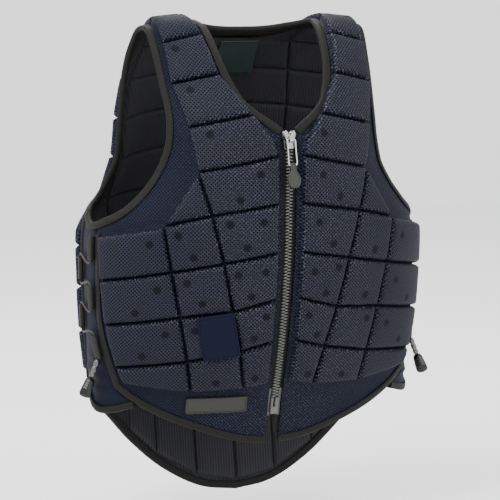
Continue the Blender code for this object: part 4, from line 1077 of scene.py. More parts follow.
def ribbed_lining(name, colour, groove_shade, pitch):
    """Inner cloth with fine ribs that run down the body, with painted shade in the grooves
    between them.
    """
    material, shader, tree = paint(name, colour, 0.72, specular=0.2)
    shader.inputs["Sheen Weight"].default_value = 0.03
    place, across, _ = cloth_place(tree)
    wave = maths(tree, "COSINE", maths(tree, "MULTIPLY", across, 2 * math.pi / pitch))
    ridge = ramped(tree, wave, *RIB_EDGE)
    grain = cloud(tree, place, LINING_GRAIN)
    height = maths(tree, "MULTIPLY_ADD", grain, LINING_GRAIN_SHARE, ridge)
    # Painted shade: the grooves between the ribs take the darker colour.
    colour_by(tree, shader, ridge, groove_shade, colour)
    sink(tree, shader, height, RIB_DEPTH, 0.7)
    return material


lining = ribbed_lining("charcoal_lining", LINING_DARK, LINING_GROOVE_SHADE, RIB_PITCH)
print("cloth finishes:", outer_mesh.name, lining.name)

# %% [markdown]
# ## The three padded panels
#
# Each panel's outline follows the pattern's lines round in one direction. The wearer's right
# front is the left one mirrored. The padded panels replace their plain solids in the render,
# while the solids go on holding the space for the physics.

# %% Put a piece on the vest


def put_on(thing, *replaced, slot, body="vest"):
    """The piece stands for its solids and rides on their body. Its slot is not used."""
    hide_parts(*replaced)
    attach(thing, body)
    return thing


HANDS = (("left", 1.0), ("right", -1.0))
CREST_GAP = 0.0004
front_top, arm_top = neck_front.copy(), arm_front.copy()
front_top[-1, 1] = CREST_GAP
arm_top[0, 1] = CREST_GAP
zip_line = straight((ZIP_EDGE, FRONT_HEM), (ZIP_EDGE, NECK_DROP))
shoulder_line = straight(front_top[-1], arm_top[0])
front_outline = joined(
    arm_top, side_front[::-1], hem_front[::-1], zip_line, front_top, shoulder_line
)[:-1]
for hand, flip in HANDS:
    blocks = [[(a * flip, d) for a, d in corners] for corners in front_blocks()]
    panel = quilted_panel(
        f"quilted_front_{hand}", front_outline * (flip, 1.0), blocks, [outer_mesh, lining]
    )
    put_on(panel, f"front_panel_{hand}", slot="air_mesh")

# %% The back
back_neck_top, back_arm_top = neck_back.copy(), arm_back.copy()
back_neck_top[0, 1] = -CREST_GAP
back_arm_top[0, 1] = -CREST_GAP
half = joined(
    back_neck_top[::-1],
    straight(back_neck_top[0], back_arm_top[0]),
    back_arm_top,
    side_back[::-1],
    hem_back[::-1],
)
back_outline = np.vstack((half, mirrored(half)[-2:0:-1]))
back = quilted_panel("quilted_back", back_outline, back_blocks(), [outer_mesh, lining])
put_on(back, "back_panel", slot="air_mesh")

# %% [markdown]
# ## The stretch sides
#
# Between front and back, under the lacing, sits a piece of stretch mesh. It is one thin cloth
# with no foam, so it uses the same net with no blocks. It is worn a little stretched, and its
# lower edge has a tape of its own.

# %% Side gussets
TAPE_WALL = 0.0010
TAPE_ROOM = 0.0008
SEAM_GAP = 0.0008
SIDE_GAP = TAPE_ROOM + TAPE_WALL + SEAM_GAP
TAPE_STOP = TAPE_COVER + TAPE_WALL + 2 * SEAM_GAP
GUSSET_FOOT = 0.155
GUSSET_LOW = 0.476
GUSSET_WEB = 0.0009


def gusset_lines():
    """Top, back, lower and front edges of the left gusset, clear of the panels' tapes."""
    front = joined(side_front[::-1], hem_front[::-1])
    front = front - inward(front) * SIDE_GAP
    front = front[front[:, 0] > GUSSET_FOOT]
    above_turn = [p for p in side_back[::-1] if p[1] > HEM_CORNER - BACK_HEM_SIDE]
    rear = np.array([across_the_side(p, back=False) for p in above_turn]) - (SIDE_GAP, 0.0)
    top = arm_foot.copy()
    for end, following in ((0, 1), (-1, -2)):
        way = top[following] - top[end]
        top[end] += way / np.hypot(*way) * SIDE_GAP
    front[0] = top[0]
    rear[0] = top[-1]
    middle = ((front[-1][0] + rear[-1][0]) / 2, GUSSET_LOW)
    return top, rear, curve([rear[-1], middle, front[-1]]), front


gusset_top, gusset_rear, gusset_foot, gusset_front = gusset_lines()
SIDE_GLINT = (0.016, 0.019, 0.036)
side_mesh = air_mesh("side_stretch_mesh", NAVY_FLAT, NAVY_FLAT, HOLE_DARK, SIDE_GLINT)
gusset_outline = joined(gusset_top, gusset_rear, gusset_foot, gusset_front[::-1])[:-1]
FOLD_DEPTH = 0.0020
FOLD_PITCH = 0.0180
FOLD_SLANT = 0.0090
FOLD_TOP = 0.4000
FOLD_REACH = 0.0720


def slack_folds(places):
    """Level folds where the cloth goes slack above the foot, fading to its edges."""
    lifts = []
    for across, down in np.abs(places):
        front, rear = across_at(gusset_front, down), across_at(gusset_rear, down)
        share = min(1.0, max(0.0, (across - front) / (rear - front)))
        drop = min(1.0, max(0.0, (down - FOLD_TOP) / FOLD_REACH))
        fade = math.sin(math.pi * share) ** 0.5 * math.sin(math.pi * drop)
        wave = math.sin(2 * math.pi * (down + FOLD_SLANT * share) / FOLD_PITCH)
        lifts.append(FOLD_DEPTH * fade * wave)
    return np.array(lifts)


for hand, flip in HANDS:
    gusset = quilted_panel(
        f"stretch_side_{hand}", gusset_outline * (flip, 1.0), [], [side_mesh, side_mesh],
        web=GUSSET_WEB, folds=slack_folds,
    )
    put_on(gusset, f"side_gusset_{hand}", slot="side_mesh")

# %% [markdown]
# ## The edge tape
#
# A raw edge frays, so a woven tape is folded over it and sewn through. Its section is a U
# with a rounded nose. We carry that U along each line of the pattern. Across the tape run
# fine cords, called grosgrain, and near its free edge runs a line of stitches, each a short
# spindle of thread of its own.

# %% Grosgrain and thread finishes
CORD_PITCH = 0.0015
CORD_EDGE = (-1.0, 0.8)
CORD_DEPTH = 0.00025
CORD_GRAIN = 1300.0
CORD_SHADE = (0.6, 0.55)
THREAD_GRAIN = 2400.0
THREAD_DEPTH = 0.0001


def grosgrain(name, colour, groove_shade, pitch=CORD_PITCH):
    """Woven tape: cords across it, at a fixed pitch along its run, with painted shade between the
    cords.
    """
    material, shader, tree = paint(name, colour, 0.6, specular=0.10)
    place, run, _ = cloth_place(tree)
    wave = maths(tree, "COSINE", maths(tree, "MULTIPLY", run, 2 * math.pi / pitch))
    ridge = ramped(tree, wave, *CORD_EDGE)
    grain = cloud(tree, place, CORD_GRAIN)
    shade = maths(tree, "MULTIPLY", ridge, maths(tree, "MULTIPLY_ADD", grain, *CORD_SHADE))
    # Painted shade: the grooves between the cords take the darker colour, with a little random
    # tone from the grain.
    colour_by(tree, shader, shade, groove_shade, colour)
    sink(tree, shader, ridge, CORD_DEPTH, 0.7)
    return material


TAPE_OLIVE = (0.0110, 0.0109, 0.0096)
# Darker colour for painted shade between the tape's cords.
TAPE_GROOVE_SHADE = (0.0030, 0.0030, 0.0026)
THREAD_OLIVE = (0.0100, 0.0100, 0.0090)
tape_finish = grosgrain("olive_grey_tape", TAPE_OLIVE, TAPE_GROOVE_SHADE)


def twisted_thread(name, colour):
    """Sewing thread, mottled as finely as its twist."""
    material, shader, tree = paint(name, colour, 0.5, specular=0.15)
    grain = cloud(tree, object_place(tree), THREAD_GRAIN)
    colour_by(tree, shader, grain, tuple(c * 0.5 for c in colour), colour)
    sink(tree, shader, grain, THREAD_DEPTH, 0.5)
    return material


thread_finish = twisted_thread("sewing_thread", THREAD_OLIVE)
print("tape cords every", CORD_PITCH * 1000, "mm")

# %% Sweep a section along a line
STITCH_PITCH = 0.0036
STITCH_LENGTH = 0.0025
STITCH_RADIUS = 0.00030
STITCH_SIDES = 4
SPINDLE = ((-0.5, 0.35), (-0.22, 1.0), (0.22, 1.0), (0.5, 0.35))


def ring_faces(rings, count, closed, start=0):
    """Quads between rings of equally many points, capped at both ends unless closed."""
    faces = []
    for k in range(rings if closed else rings - 1):
        first, second = start + k * count, start + (k + 1) % rings * count
        for i in range(count):
            j = (i + 1) % count
            faces.append((first + i, first + j, second + j, second + i))
    if not closed:
        faces.append(tuple(start + i for i in range(count))[::-1])
        faces.append(tuple(start + (rings - 1) * count + i for i in range(count)))
    return faces


def spindles(line, out):
    """Stitches along a line of points that lies on the sewn surface."""
    run = run_along(line)
    total = int(run[-1] / STITCH_PITCH)
    points, faces = [], []
    for k in range(total):
        middle = (k + 0.5) * STITCH_PITCH
        rings = []
        for share, thickness in SPINDLE:
            at = middle + share * STITCH_LENGTH
            centre = np.array([np.interp(at, run, line[:, i]) for i in range(3)])
            lift = np.array([np.interp(at, run, out[:, i]) for i in range(3)])
            rings.append((centre, lift, thickness * STITCH_RADIUS))
        along = rings[-1][0] - rings[0][0]
        along /= np.linalg.norm(along)
        start = len(points)
        for centre, lift, radius in rings:
            beside = np.cross(along, lift)
            for c, s in circle(STITCH_SIDES):
                points.append(centre + radius * (c * lift + s * beside))
        faces.extend(ring_faces(len(rings), STITCH_SIDES, False, start))
    return points, faces


print("stitch length:", STITCH_LENGTH * 1000, "mm")

# %% Tape with its stitches
TAPE_OUT = WEB_HALF + TAPE_ROOM + TAPE_WALL
TAPE_NOSE = TAPE_ROOM + TAPE_WALL
TAPE_PUFF = 0.0002
STITCH_INSET = 0.0052


def tape_section(inner_cover):
    """The folded tape as (inset from the edge, lift) points, outer leaf first."""
    leaf = TAPE_OUT
    return (
        (TAPE_COVER, leaf - TAPE_WALL * 0.9),
        (TAPE_COVER, leaf - TAPE_WALL * 0.25),
        (TAPE_COVER * 0.93, leaf),
        (TAPE_COVER * 0.5, leaf + TAPE_PUFF),
        (0.0, leaf),
        (-TAPE_NOSE * 0.7, leaf * 0.72),
        (-TAPE_NOSE, leaf * 0.25),
        (-TAPE_NOSE, -leaf * 0.25),
        (-TAPE_NOSE * 0.7, -leaf * 0.72),
        (0.0, -leaf),
        (inner_cover * 0.5, -leaf - TAPE_PUFF),
        (inner_cover * 0.95, -leaf),
        (inner_cover, -leaf + TAPE_WALL * 0.9),
        (0.0, -WEB_HALF - TAPE_ROOM * 0.5),
        (-TAPE_ROOM, 0.0),
        (0.0, WEB_HALF + TAPE_ROOM * 0.5),
    )


def folded_tape(name, path, sides, closed=False, inner_cover=TAPE_COVER):
    """Tape over an edge, with a line of stitches through both of its leaves."""
    section = tape_section(inner_cover)
    places = np.array([path + sides * inset for inset, _ in section]).transpose(1, 0, 2)
    lifts = np.tile([lift for _, lift in section], len(path))
    points = list(cloth(places.reshape(-1, 2), lifts))
    count = len(section)
    faces = ring_faces(len(path), count, closed)
    slots = [0] * len(faces)
    run = run_along(path)
    girth = run_along(np.array(section))
    layout = [(r, g) for r in run for g in girth]
    for face in (1.0, -1.0):
        height = face * (TAPE_OUT + STITCH_RADIUS * 0.5)
        line, out = form_at(path + sides * STITCH_INSET)
        stitched, stitch_faces = spindles(line + out * height, out * face)
        start = len(points)
        points.extend(stitched)
        faces.extend(tuple(i + start for i in f) for f in stitch_faces)
        slots.extend([1] * len(stitch_faces))
    layout.extend([(0.0, 0.0)] * (len(points) - len(layout)))
    piece = new_mesh(name, points, faces, [tape_finish, thread_finish], slots, sharp=50)
    lay_out(piece, layout)
    outward_faces(piece)
    print(name, len(faces), "faces")
    return piece


print("tape stands", round(TAPE_OUT * 1000, 2), "mm off the middle of the padding")

# %% Bind the edges
NECK_FACING = 0.0115
GUSSET_STOP = TAPE_COVER * 0.6
GUSSET_END_STOP = TAPE_COVER * 0.5
half = joined(neck_front, neck_back)
neck_line = np.vstack((half, mirrored(half)[-2::-1]))
neck = folded_tape("bound_neck", neck_line, inward(neck_line), inner_cover=NECK_FACING)
put_on(neck, "neck_tape", slot="edge_tape")
up_back = arm_back[::-1]
arm_line = np.vstack((arm_front, arm_foot[1:-1], up_back[:-1]))
arm_sides = np.vstack((inward(joined(arm_front, arm_foot))[:-1], inward(up_back)[:-1]))
front_edge = joined(side_front[::-1], hem_front[::-1])
front_edge = front_edge[run_along(front_edge) > TAPE_STOP]
gusset_run = run_along(gusset_foot)
kept = (gusset_run > GUSSET_STOP) & (gusset_run < gusset_run[-1] - GUSSET_END_STOP)
gusset_edge = gusset_foot[kept]
for hand, flip in HANDS:
    side = (flip, 1.0)
    armhole = folded_tape(f"bound_armhole_{hand}", arm_line * side, arm_sides * side, closed=True)
    put_on(armhole, f"armhole_tape_{hand}", slot="edge_tape")
    edge = folded_tape(f"bound_front_{hand}", front_edge * side, inward(front_edge) * side)
    put_on(edge, f"front_edge_tape_{hand}", slot="edge_tape")
    foot = folded_tape(f"bound_side_{hand}", gusset_edge * side, inward(gusset_edge) * side)
    put_on(foot, f"gusset_tape_{hand}", slot="edge_tape")
half = joined(hem_back, side_back)
half = half[run_along(half) < run_along(half)[-1] - TAPE_STOP]
back_edge = np.vstack((mirrored(half)[::-1], half[1:]))
tail = folded_tape("bound_back", back_edge, inward(back_edge))
put_on(tail, "back_edge_tape", slot="edge_tape")

# %% [markdown]
# ## Lacing at the sides
#
# The vest is fitted to a rider by an elastic lace on each side. It runs down through short
# sleeves of folded webbing, sewn beside the front and the back edge, and ends in a metal lock
# with a rubber grip to pull on. The sleeves are flat tubes, the lace is a round cord on a
# smooth route, and the lock and the grip are turned shapes whose profiles are short tables.

# %% Webbing sleeves
LOOP_LENGTH = 0.0260
LOOP_HALF_WIDTH = 0.0042
LOOP_HALF_HEIGHT = 0.0026
LOOP_WALL = 0.0011
LOOP_LIFT = WEB_HALF + SEAM_GAP + LOOP_HALF_HEIGHT
LOOP_POINTS = 18
LOOP_ROWS = 9
LOOP_SQUARE = 0.55
FRONT_LOOPS = (0.273, 0.329, 0.385)
BACK_LOOPS = (0.301, 0.357)
front_channel = gusset_front + (LOOP_HALF_WIDTH + SEAM_GAP, 0.0)
back_channel = gusset_rear - (LOOP_HALF_WIDTH + SEAM_GAP, 0.0)


def flat_oval(half_width, half_height):
    """Points round a squarish oval: (across, lift)."""
    wave = circle(LOOP_POINTS)
    return np.sign(wave) * np.abs(wave) ** LOOP_SQUARE * (half_width, half_height)


def webbing_sleeve(name, channel, down, flip):
    """A flat tube of webbing with both ends open, from a row down along a channel."""
    rows = np.linspace(down, down + LOOP_LENGTH, LOOP_ROWS)
    rings, layout = [], []
    outer = flat_oval(LOOP_HALF_WIDTH, LOOP_HALF_HEIGHT)
    inner = flat_oval(LOOP_HALF_WIDTH - LOOP_WALL, LOOP_HALF_HEIGHT - LOOP_WALL)
    walk = list(rows) + list(rows[::-1])
    skins = [outer] * len(rows) + [inner] * len(rows)
    for row, ring in zip(walk, skins):
        middle = across_at(channel, row)
        places = [((middle + a) * flip, row) for a, _ in ring]
        rings.extend(cloth(places, LOOP_LIFT + ring[:, 1]))
        layout.extend((row, i * LOOP_WALL) for i in range(LOOP_POINTS))
    faces = ring_faces(len(walk), LOOP_POINTS, True)
    sleeve = new_mesh(name, rings, faces, [webbing_finish], sharp=50)
    lay_out(sleeve, layout)
    outward_faces(sleeve)
    return sleeve


WEBBING_BROWN = (0.0250, 0.0235, 0.0205)
# Darker colour for painted shade between the webbing's cords.
WEBBING_GROOVE_SHADE = (0.0070, 0.0066, 0.0058)
WEBBING_PITCH = 0.0021
webbing_finish = grosgrain("grey_brown_webbing", WEBBING_BROWN, WEBBING_GROOVE_SHADE, WEBBING_PITCH)
CHANNELS = (("front", front_channel, FRONT_LOOPS), ("back", back_channel, BACK_LOOPS))
for hand, flip in HANDS:
    for where, channel, downs in CHANNELS:
        for number, down in enumerate(downs, 1):
            sleeve = webbing_sleeve(f"{where}_sleeve_{hand}_{number}", channel, down, flip)
            put_on(sleeve, f"{where}_loop_{hand}_{number}", slot="webbing")
print("sleeves on each side:", len(FRONT_LOOPS) + len(BACK_LOOPS))

# %% Elastic lace
LACE_RADIUS = 0.0013
LACE_SIDES = 10
LACE_STEP = 0.0025
STRAND_PITCH = 0.0016
STRAND_EDGE = (0.1, 0.8)
STRAND_DEPTH = 0.0003


def round_cord(name, points, across_it, radius, sides, materials, closed=False):
    """Round bar along points, with one direction across it given at each point."""
    points = np.asarray(points, float)
    along = np.gradient(points, axis=0)
    if closed:
        along = np.roll(points, -1, axis=0) - np.roll(points, 1, axis=0)
    along /= np.linalg.norm(along, axis=1, keepdims=True)
    second = np.cross(along, across_it)
    second /= np.linalg.norm(second, axis=1, keepdims=True)
    first = np.cross(second, along)
    rings = [
        p + radius * (c * a + s * b)
        for p, a, b in zip(points, first, second)
        for c, s in circle(sides)
    ]
    cord = new_mesh(name, rings, ring_faces(len(points), sides, closed), materials)
    side = 2 * math.pi * radius / sides
    lay_out(cord, [(r, i * side) for r in run_along(points) for i in range(sides)])
    outward_faces(cord)
    return cord


def braid(name, colour, groove_shade, pitch):
    """Braided cord: two crossed waves over its run and its girth, with painted shade where the
    strands part.
    """
    material, shader, tree = paint(name, colour, 0.55, specular=0.3)
    _, run, girth = cloth_place(tree)
    strands = lattice(tree, run, girth, pitch)
    # Painted shade: the hollows between the strands take the darker colour.
    colour_by(tree, shader, ramped(tree, strands, *STRAND_EDGE), colour, groove_shade)
    sink(tree, shader, one_less(tree, strands), STRAND_DEPTH, 0.8)
    return material


LACE_BLACK = (0.014, 0.014, 0.015)
# Darker colour for painted shade between the lace's strands.
LACE_GROOVE_SHADE = (0.003, 0.003, 0.003)
lace_finish = braid("braided_elastic", LACE_BLACK, LACE_GROOVE_SHADE, STRAND_PITCH)
lace_gap = (FRONT_LOOPS[1] - FRONT_LOOPS[0] - 2 * LOOP_LENGTH) / 2
stops = [(down, channel) for _, channel, downs in CHANNELS for down in downs]
route = []
for down, channel in sorted(stops, key=lambda stop: stop[0]):
    for row in (down - lace_gap / 2, down + LOOP_LENGTH / 2, down + LOOP_LENGTH + lace_gap / 2):
        route.append((across_at(channel, row), row))
lace_route = curve(route, LACE_STEP)
for hand, flip in HANDS:
    base, out = form_at(lace_route * (flip, 1.0))
    line = base + out * LOOP_LIFT
    lace = round_cord(
        f"elastic_lace_{hand}", line, out, LACE_RADIUS, LACE_SIDES, [lace_finish]
    )
    put_on(lace, f"lace_{hand}", slot="elastic")
print("lace:", round(run_along(lace_route)[-1], 3), "m each side")

# %% [markdown]
# ## Metal and rubber
#
# Plated zinc is bright with fine wear, so its roughness follows a faint noise. Moulded rubber
# is nearly black, a little warm, and has the fine bloom that a mould leaves, which a small
# bump gives.

# %% Hard finishes
WEAR_SCALE = 420.0
WEAR_DETAIL = 3.0
WEAR_DEPTH = 0.00005
BLOOM_SCALE = 1500.0
BLOOM_DARK = 0.7
BLOOM_DEPTH = 0.00006


def plated_metal(name, colour, rough_low, rough_high):
    """Plated metal whose wear takes its roughness from low to high."""
    material, shader, tree = paint(name, colour, 0.3, metallic=1.0)
    wear = cloud(tree, object_place(tree), WEAR_SCALE, WEAR_DETAIL)
    span = tree.nodes.new("ShaderNodeMapRange")
    wire(tree, wear, span.inputs["Value"])
    span.inputs["To Min"].default_value = rough_low
    span.inputs["To Max"].default_value = rough_high
    tree.links.new(span.outputs["Result"], shader.inputs["Roughness"])
    sink(tree, shader, wear, WEAR_DEPTH, 0.3)
    return material


def moulded(name, colour, roughness):
    """Moulded rubber or plastic with a fine bloom."""
    material, shader, tree = paint(name, colour, roughness, specular=0.3)
    grain = cloud(tree, object_place(tree), BLOOM_SCALE)
    colour_by(tree, shader, grain, tuple(c * BLOOM_DARK for c in colour), colour)
    sink(tree, shader, grain, BLOOM_DEPTH, 0.4)
    return material


bright_metal = plated_metal("bright_plated_zinc", (0.42, 0.42, 0.41), 0.12, 0.26)
dull_metal = plated_metal("brushed_lock_metal", (0.10, 0.10, 0.095), 0.30, 0.50)
soft_rubber = moulded("dark_olive_rubber", (0.0220, 0.0225, 0.0180), 0.45)
grip_rubber = moulded("black_grip_rubber", (0.0030, 0.0030, 0.0032), 0.30)
print("hard finishes:", bright_metal.name, dull_metal.name, soft_rubber.name, grip_rubber.name)

# %% Lace locks and grips
LOCK_RADIUS = 0.0032
LOCK_LENGTH = 0.0220
GRIP_RADIUS = 0.0075
GRIP_LENGTH = 0.0225
GRIP_GAP = 0.0003
LACE_LEAN = math.radians(22)
LOCK_DROP = 0.0005
LOCK_ASIDE = 0.0011
TURNED_SIDES = 24
FACETS = 6
GRIP_FLATS = 0.12
LOCK_PROFILE = (
    (0.00, 0.45), (0.02, 0.62), (0.08, 0.90), (0.14, 1.00), (0.30, 1.00),
    (0.33, 0.82), (0.40, 0.82), (0.43, 1.00), (0.62, 1.00), (0.65, 0.82),
    (0.72, 0.82), (0.75, 1.00), (0.90, 0.96), (0.98, 0.70), (1.00, 0.50),
)
GRIP_PROFILE = (
    (0.00, 0.40), (0.02, 0.55), (0.10, 0.72), (0.20, 0.84), (0.24, 0.78),
    (0.32, 0.88), (0.36, 0.82), (0.44, 0.93), (0.48, 0.87), (0.56, 0.98),
    (0.60, 0.92), (0.70, 1.00), (0.86, 1.00), (0.95, 0.88), (1.00, 0.66),
)


def turned(name, start, direction, profile, length, radius, material, facets=0.0):
    """Round piece along a direction, with its girth waved to make facets."""
    direction = direction.normalized()
    across_it = direction.orthogonal().normalized()
    second = direction.cross(across_it)
    points = []
    for along, share in profile:
        for i in range(TURNED_SIDES):
            turn = 2 * math.pi * i / TURNED_SIDES
            reach = share * radius * (1 - facets * (0.5 + 0.5 * math.cos(FACETS * turn)))
            spoke = across_it * math.cos(turn) + second * math.sin(turn)
            points.append(start + direction * along * length + spoke * reach)
    faces = ring_faces(len(profile), TURNED_SIDES, False)
    piece = new_mesh(name, points, faces, [material], sharp=42)
    outward_faces(piece)
    return piece


for hand, flip in HANDS:
    way = Vector((flip * math.sin(LACE_LEAN), 0.0, -math.cos(LACE_LEAN)))
    start = Vector(cloth([lace_route[-1] * (flip, 1.0)], LOOP_LIFT)[0])
    start += way * LOCK_DROP + Vector((flip * LOCK_ASIDE, 0.0, 0.0))
    lock = turned(
        f"lace_end_lock_{hand}", start, way, LOCK_PROFILE, LOCK_LENGTH, LOCK_RADIUS, dull_metal
    )
    put_on(lock, f"lace_lock_{hand}", slot="bare_metal")
    start = start + way * (LOCK_LENGTH + GRIP_GAP)
    grip = turned(
        f"lace_end_grip_{hand}", start, way, GRIP_PROFILE, GRIP_LENGTH, GRIP_RADIUS,
        grip_rubber, GRIP_FLATS,
    )
    put_on(grip, f"lace_grip_{hand}", slot="soft_rubber")
print("grip:", GRIP_RADIUS * 2000, "mm thick")

# %% [markdown]
# ## The front zip
#
# A moulded zip is two woven tapes with a row of teeth on each. The two rows mesh, so a tooth of
# one side sits between two of the other. Each tooth is a rounded bar, fat at the middle where
# it locks and slim where it grips the tape, and it leans a little. A box and a pin close
# the foot, with a sheet of clear film that keeps the tape stiff.

# %% Zip tapes
ZIP_TAPE_INNER = 0.0050
ZIP_TAPE_OUTER = 0.0118
ZIP_TAPE_THICK = 0.0010
ZIP_TOP = 0.1720
ZIP_FOOT = 0.4560
ZIP_TAPE_SEAT = 0.0004
ZIP_TAPE_LIP = 0.0026
ZIP_CORD_WIDTH = 0.0012
ZIP_CORD_RISE = 0.0003
zip_face = -WEB_HALF - ZIP_TAPE_SEAT
ZIP_SECTION = (
    (ZIP_TAPE_INNER - ZIP_TAPE_LIP, zip_face),
    (ZIP_TAPE_INNER, zip_face + ZIP_CORD_RISE),
    (ZIP_TAPE_INNER + ZIP_CORD_WIDTH, zip_face + ZIP_CORD_RISE),
    (ZIP_TAPE_OUTER, zip_face),
    (ZIP_TAPE_OUTER, zip_face - ZIP_TAPE_THICK),
    (ZIP_TAPE_INNER - ZIP_TAPE_LIP, zip_face - ZIP_TAPE_THICK),
)


def cloth_sweep(name, path, side, section, material):
    """A section of (across, lift) points carried along a line on the cloth."""
    places = np.array([path + (side * inset, 0.0) for inset, _ in section]).transpose(1, 0, 2)
    lifts = np.tile([lift for _, lift in section], len(path))
    points = cloth(places.reshape(-1, 2), lifts)
    faces = ring_faces(len(path), len(section), False)
    piece = new_mesh(name, points, faces, [material], sharp=50)
    girth = run_along(np.array(section))
    lay_out(piece, [(r, g) for r in run_along(path) for g in girth])
    outward_faces(piece)
    return piece


ZIP_OLIVE = (0.0140, 0.0140, 0.0115)
# Darker colour for painted shade between the zip tape's cords.
ZIP_GROOVE_SHADE = (0.0055, 0.0055, 0.0045)
ZIP_CORD_PITCH = 0.0012
zip_tape_finish = grosgrain("zip_woven_tape", ZIP_OLIVE, ZIP_GROOVE_SHADE, ZIP_CORD_PITCH)
zip_path = straight((0.0, ZIP_TOP + SEAM_GAP), (0.0, FRONT_HEM - TAPE_COVER - 2 * SEAM_GAP))
for hand, flip in HANDS:
    woven = cloth_sweep(f"zip_woven_tape_{hand}", zip_path, flip, ZIP_SECTION, zip_tape_finish)
    put_on(woven, f"zip_tape_{hand}", slot="zip_tape")
print("zip tape:", round(run_along(zip_path)[-1], 3), "m")

# %% Zip teeth
CAD_TOOTH_PITCH = 0.008
CHAIN_END = ZIP_TOP + round((ZIP_FOOT - ZIP_TOP) / CAD_TOOTH_PITCH) * CAD_TOOTH_PITCH
TOOTH_PITCH = 0.0036
TOOTH_REACH = 0.0046
TOOTH_START = -0.0006
TOOTH_HALF_THICK = 0.0021
TOOTH_LEAN = math.radians(5)
TOOTH_RINGS = 7
TOOTH_SIDES = 8
TOOTH_TAPER = 0.42
TOOTH_THINNING = 0.2
TOOTH_HALF_SHARE = 0.36
TOOTH_TIP = 0.12
TOOTH_ROUNDING = 2.4
TOOTH_SHIFTS = ((1.0, 0.25), (-1.0, 0.75))
tooth_finish = moulded("silver_grey_teeth", (0.125, 0.130, 0.115), 0.26)


def tooth(side, down):
    """Rings of one tooth, from its head at the middle out to its root."""
    points = []
    for k in range(TOOTH_RINGS):
        share = k / (TOOTH_RINGS - 1)
        across = TOOTH_START + (TOOTH_REACH - TOOTH_START) * share
        fat = 1.0 - TOOTH_TAPER * share
        full = min(1.0, TOOTH_TIP + min(share, 1 - share) * TOOTH_ROUNDING)
        round_end = math.sin(math.pi * full / 2)
        half_down = TOOTH_PITCH * TOOTH_HALF_SHARE * fat * round_end
        half_lift = TOOTH_HALF_THICK * (1.0 - TOOTH_THINNING * share) * round_end
        for c, s in circle(TOOTH_SIDES):
            row = down + across * math.tan(TOOTH_LEAN) + half_down * c
            points.append((side * across, row, half_lift * s))
    return points


def zip_teeth():
    """Both rows of teeth, each side half a step from the other."""
    rows, faces = [], []
    count = int((CHAIN_END - ZIP_TOP) / TOOTH_PITCH)
    for k in range(count):
        for side, shift in TOOTH_SHIFTS:
            start = len(rows)
            rows.extend(tooth(side, ZIP_TOP + (k + shift) * TOOTH_PITCH))
            faces.extend(ring_faces(TOOTH_RINGS, TOOTH_SIDES, False, start))
    rows = np.array(rows)
    chain = new_mesh("zip_teeth", cloth(rows[:, :2], rows[:, 2]), faces, [tooth_finish], sharp=60)
    outward_faces(chain)
    print("teeth:", 2 * count)
    return chain


put_on(zip_teeth(), "zip_chain", slot="zip_teeth")

# %% Box, pin and socket
BOX_LENGTH = 0.0200
BOX_ROWS = 12
BOX_CORNER = 0.0008
BOX_OVERLAP = 0.001
BOX_EDGE = 0.0004
BLOCK_SHARE = 0.45
Bar = namedtuple("Bar", "middle half_width half_lift")
BOX_BAR = Bar(0.0, 0.0045, 0.0026)
PIN_BAR = Bar(-0.0030, 0.0013, 0.0018)
SOCKET_BAR = Bar(0.0024, 0.0019, 0.0022)
CORNERS = ((1, 1, 0), (-1, 1, 90), (-1, -1, 180), (1, -1, 270))


def soften(piece, width):
    """A small round on every hard edge."""
    soft = piece.modifiers.new("soft_edges", "BEVEL")
    soft.width = width
    soft.segments = 2
    soft.limit_method = "ANGLE"


def rounded_box(bar):
    """Section of a bar with rounded corners: (across, lift) points."""
    points = []
    for sx, sy, start in CORNERS:
        for angle in (0, 30, 60, 90):
            turn = math.radians(start + angle)
            across = sx * (bar.half_width - BOX_CORNER) + BOX_CORNER * math.cos(turn)
            lift = sy * (bar.half_lift - BOX_CORNER) + BOX_CORNER * math.sin(turn)
            points.append((bar.middle + across, lift))
    return points


def box_bar(name, bar, top, foot):
    """One upright bar of the box, from a row near the teeth down to its foot."""
    path = straight((0.0, top), (0.0, foot), BOX_LENGTH / BOX_ROWS)
    piece = cloth_sweep(name, path, 1.0, rounded_box(bar), box_finish)
    soften(piece, BOX_EDGE)
    return piece


box_finish = moulded("grey_moulded_box", (0.085, 0.086, 0.076), 0.32)
box_start = CHAIN_END + SEAM_GAP
block_top = box_start + BOX_LENGTH * (1 - BLOCK_SHARE)
box = box_bar("zip_foot_box", BOX_BAR, block_top, box_start + BOX_LENGTH)
put_on(box, "zip_box", slot="bare_metal")
for name, bar in (("zip_pin", PIN_BAR), ("zip_socket", SOCKET_BAR)):
    piece = box_bar(name, bar, box_start, block_top + BOX_OVERLAP)
    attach(piece, "vest")
print("box:", BOX_LENGTH * 1000, "mm long, from", round(box_start, 3), "m down")

# %% Clear film
FILM_LENGTH = 0.034
FILM_THICK = 0.0003
FILM_STEP = 0.002
FILM_ABOVE = 0.010
FILM_INNER, FILM_OUTER = 0.0047, 0.0079
FILM_LIFTS = (0.0006, 0.0008)
FILM_TONE = (0.018, 0.019, 0.024)
FILM_DARK = (0.012, 0.013, 0.018)
FILM_PALE = (0.026, 0.027, 0.033)
film_finish, film_shader, film_tree = paint("clear_film", FILM_TONE, 0.3)
film_shader.inputs["Coat Weight"].default_value = 0.15
film_grain = cloud(film_tree, object_place(film_tree), 160.0)
colour_by(film_tree, film_shader, film_grain, FILM_DARK, FILM_PALE)
film_top = CHAIN_END - FILM_ABOVE
film_path = straight((0.0, film_top), (0.0, film_top + FILM_LENGTH), FILM_STEP)
inner_lift, outer_lift = (zip_face + lift for lift in FILM_LIFTS)
FILM_SECTION = (
    (FILM_INNER, inner_lift),
    (FILM_OUTER, outer_lift),
    (FILM_OUTER, outer_lift + FILM_THICK),
    (FILM_INNER, inner_lift + FILM_THICK),
)
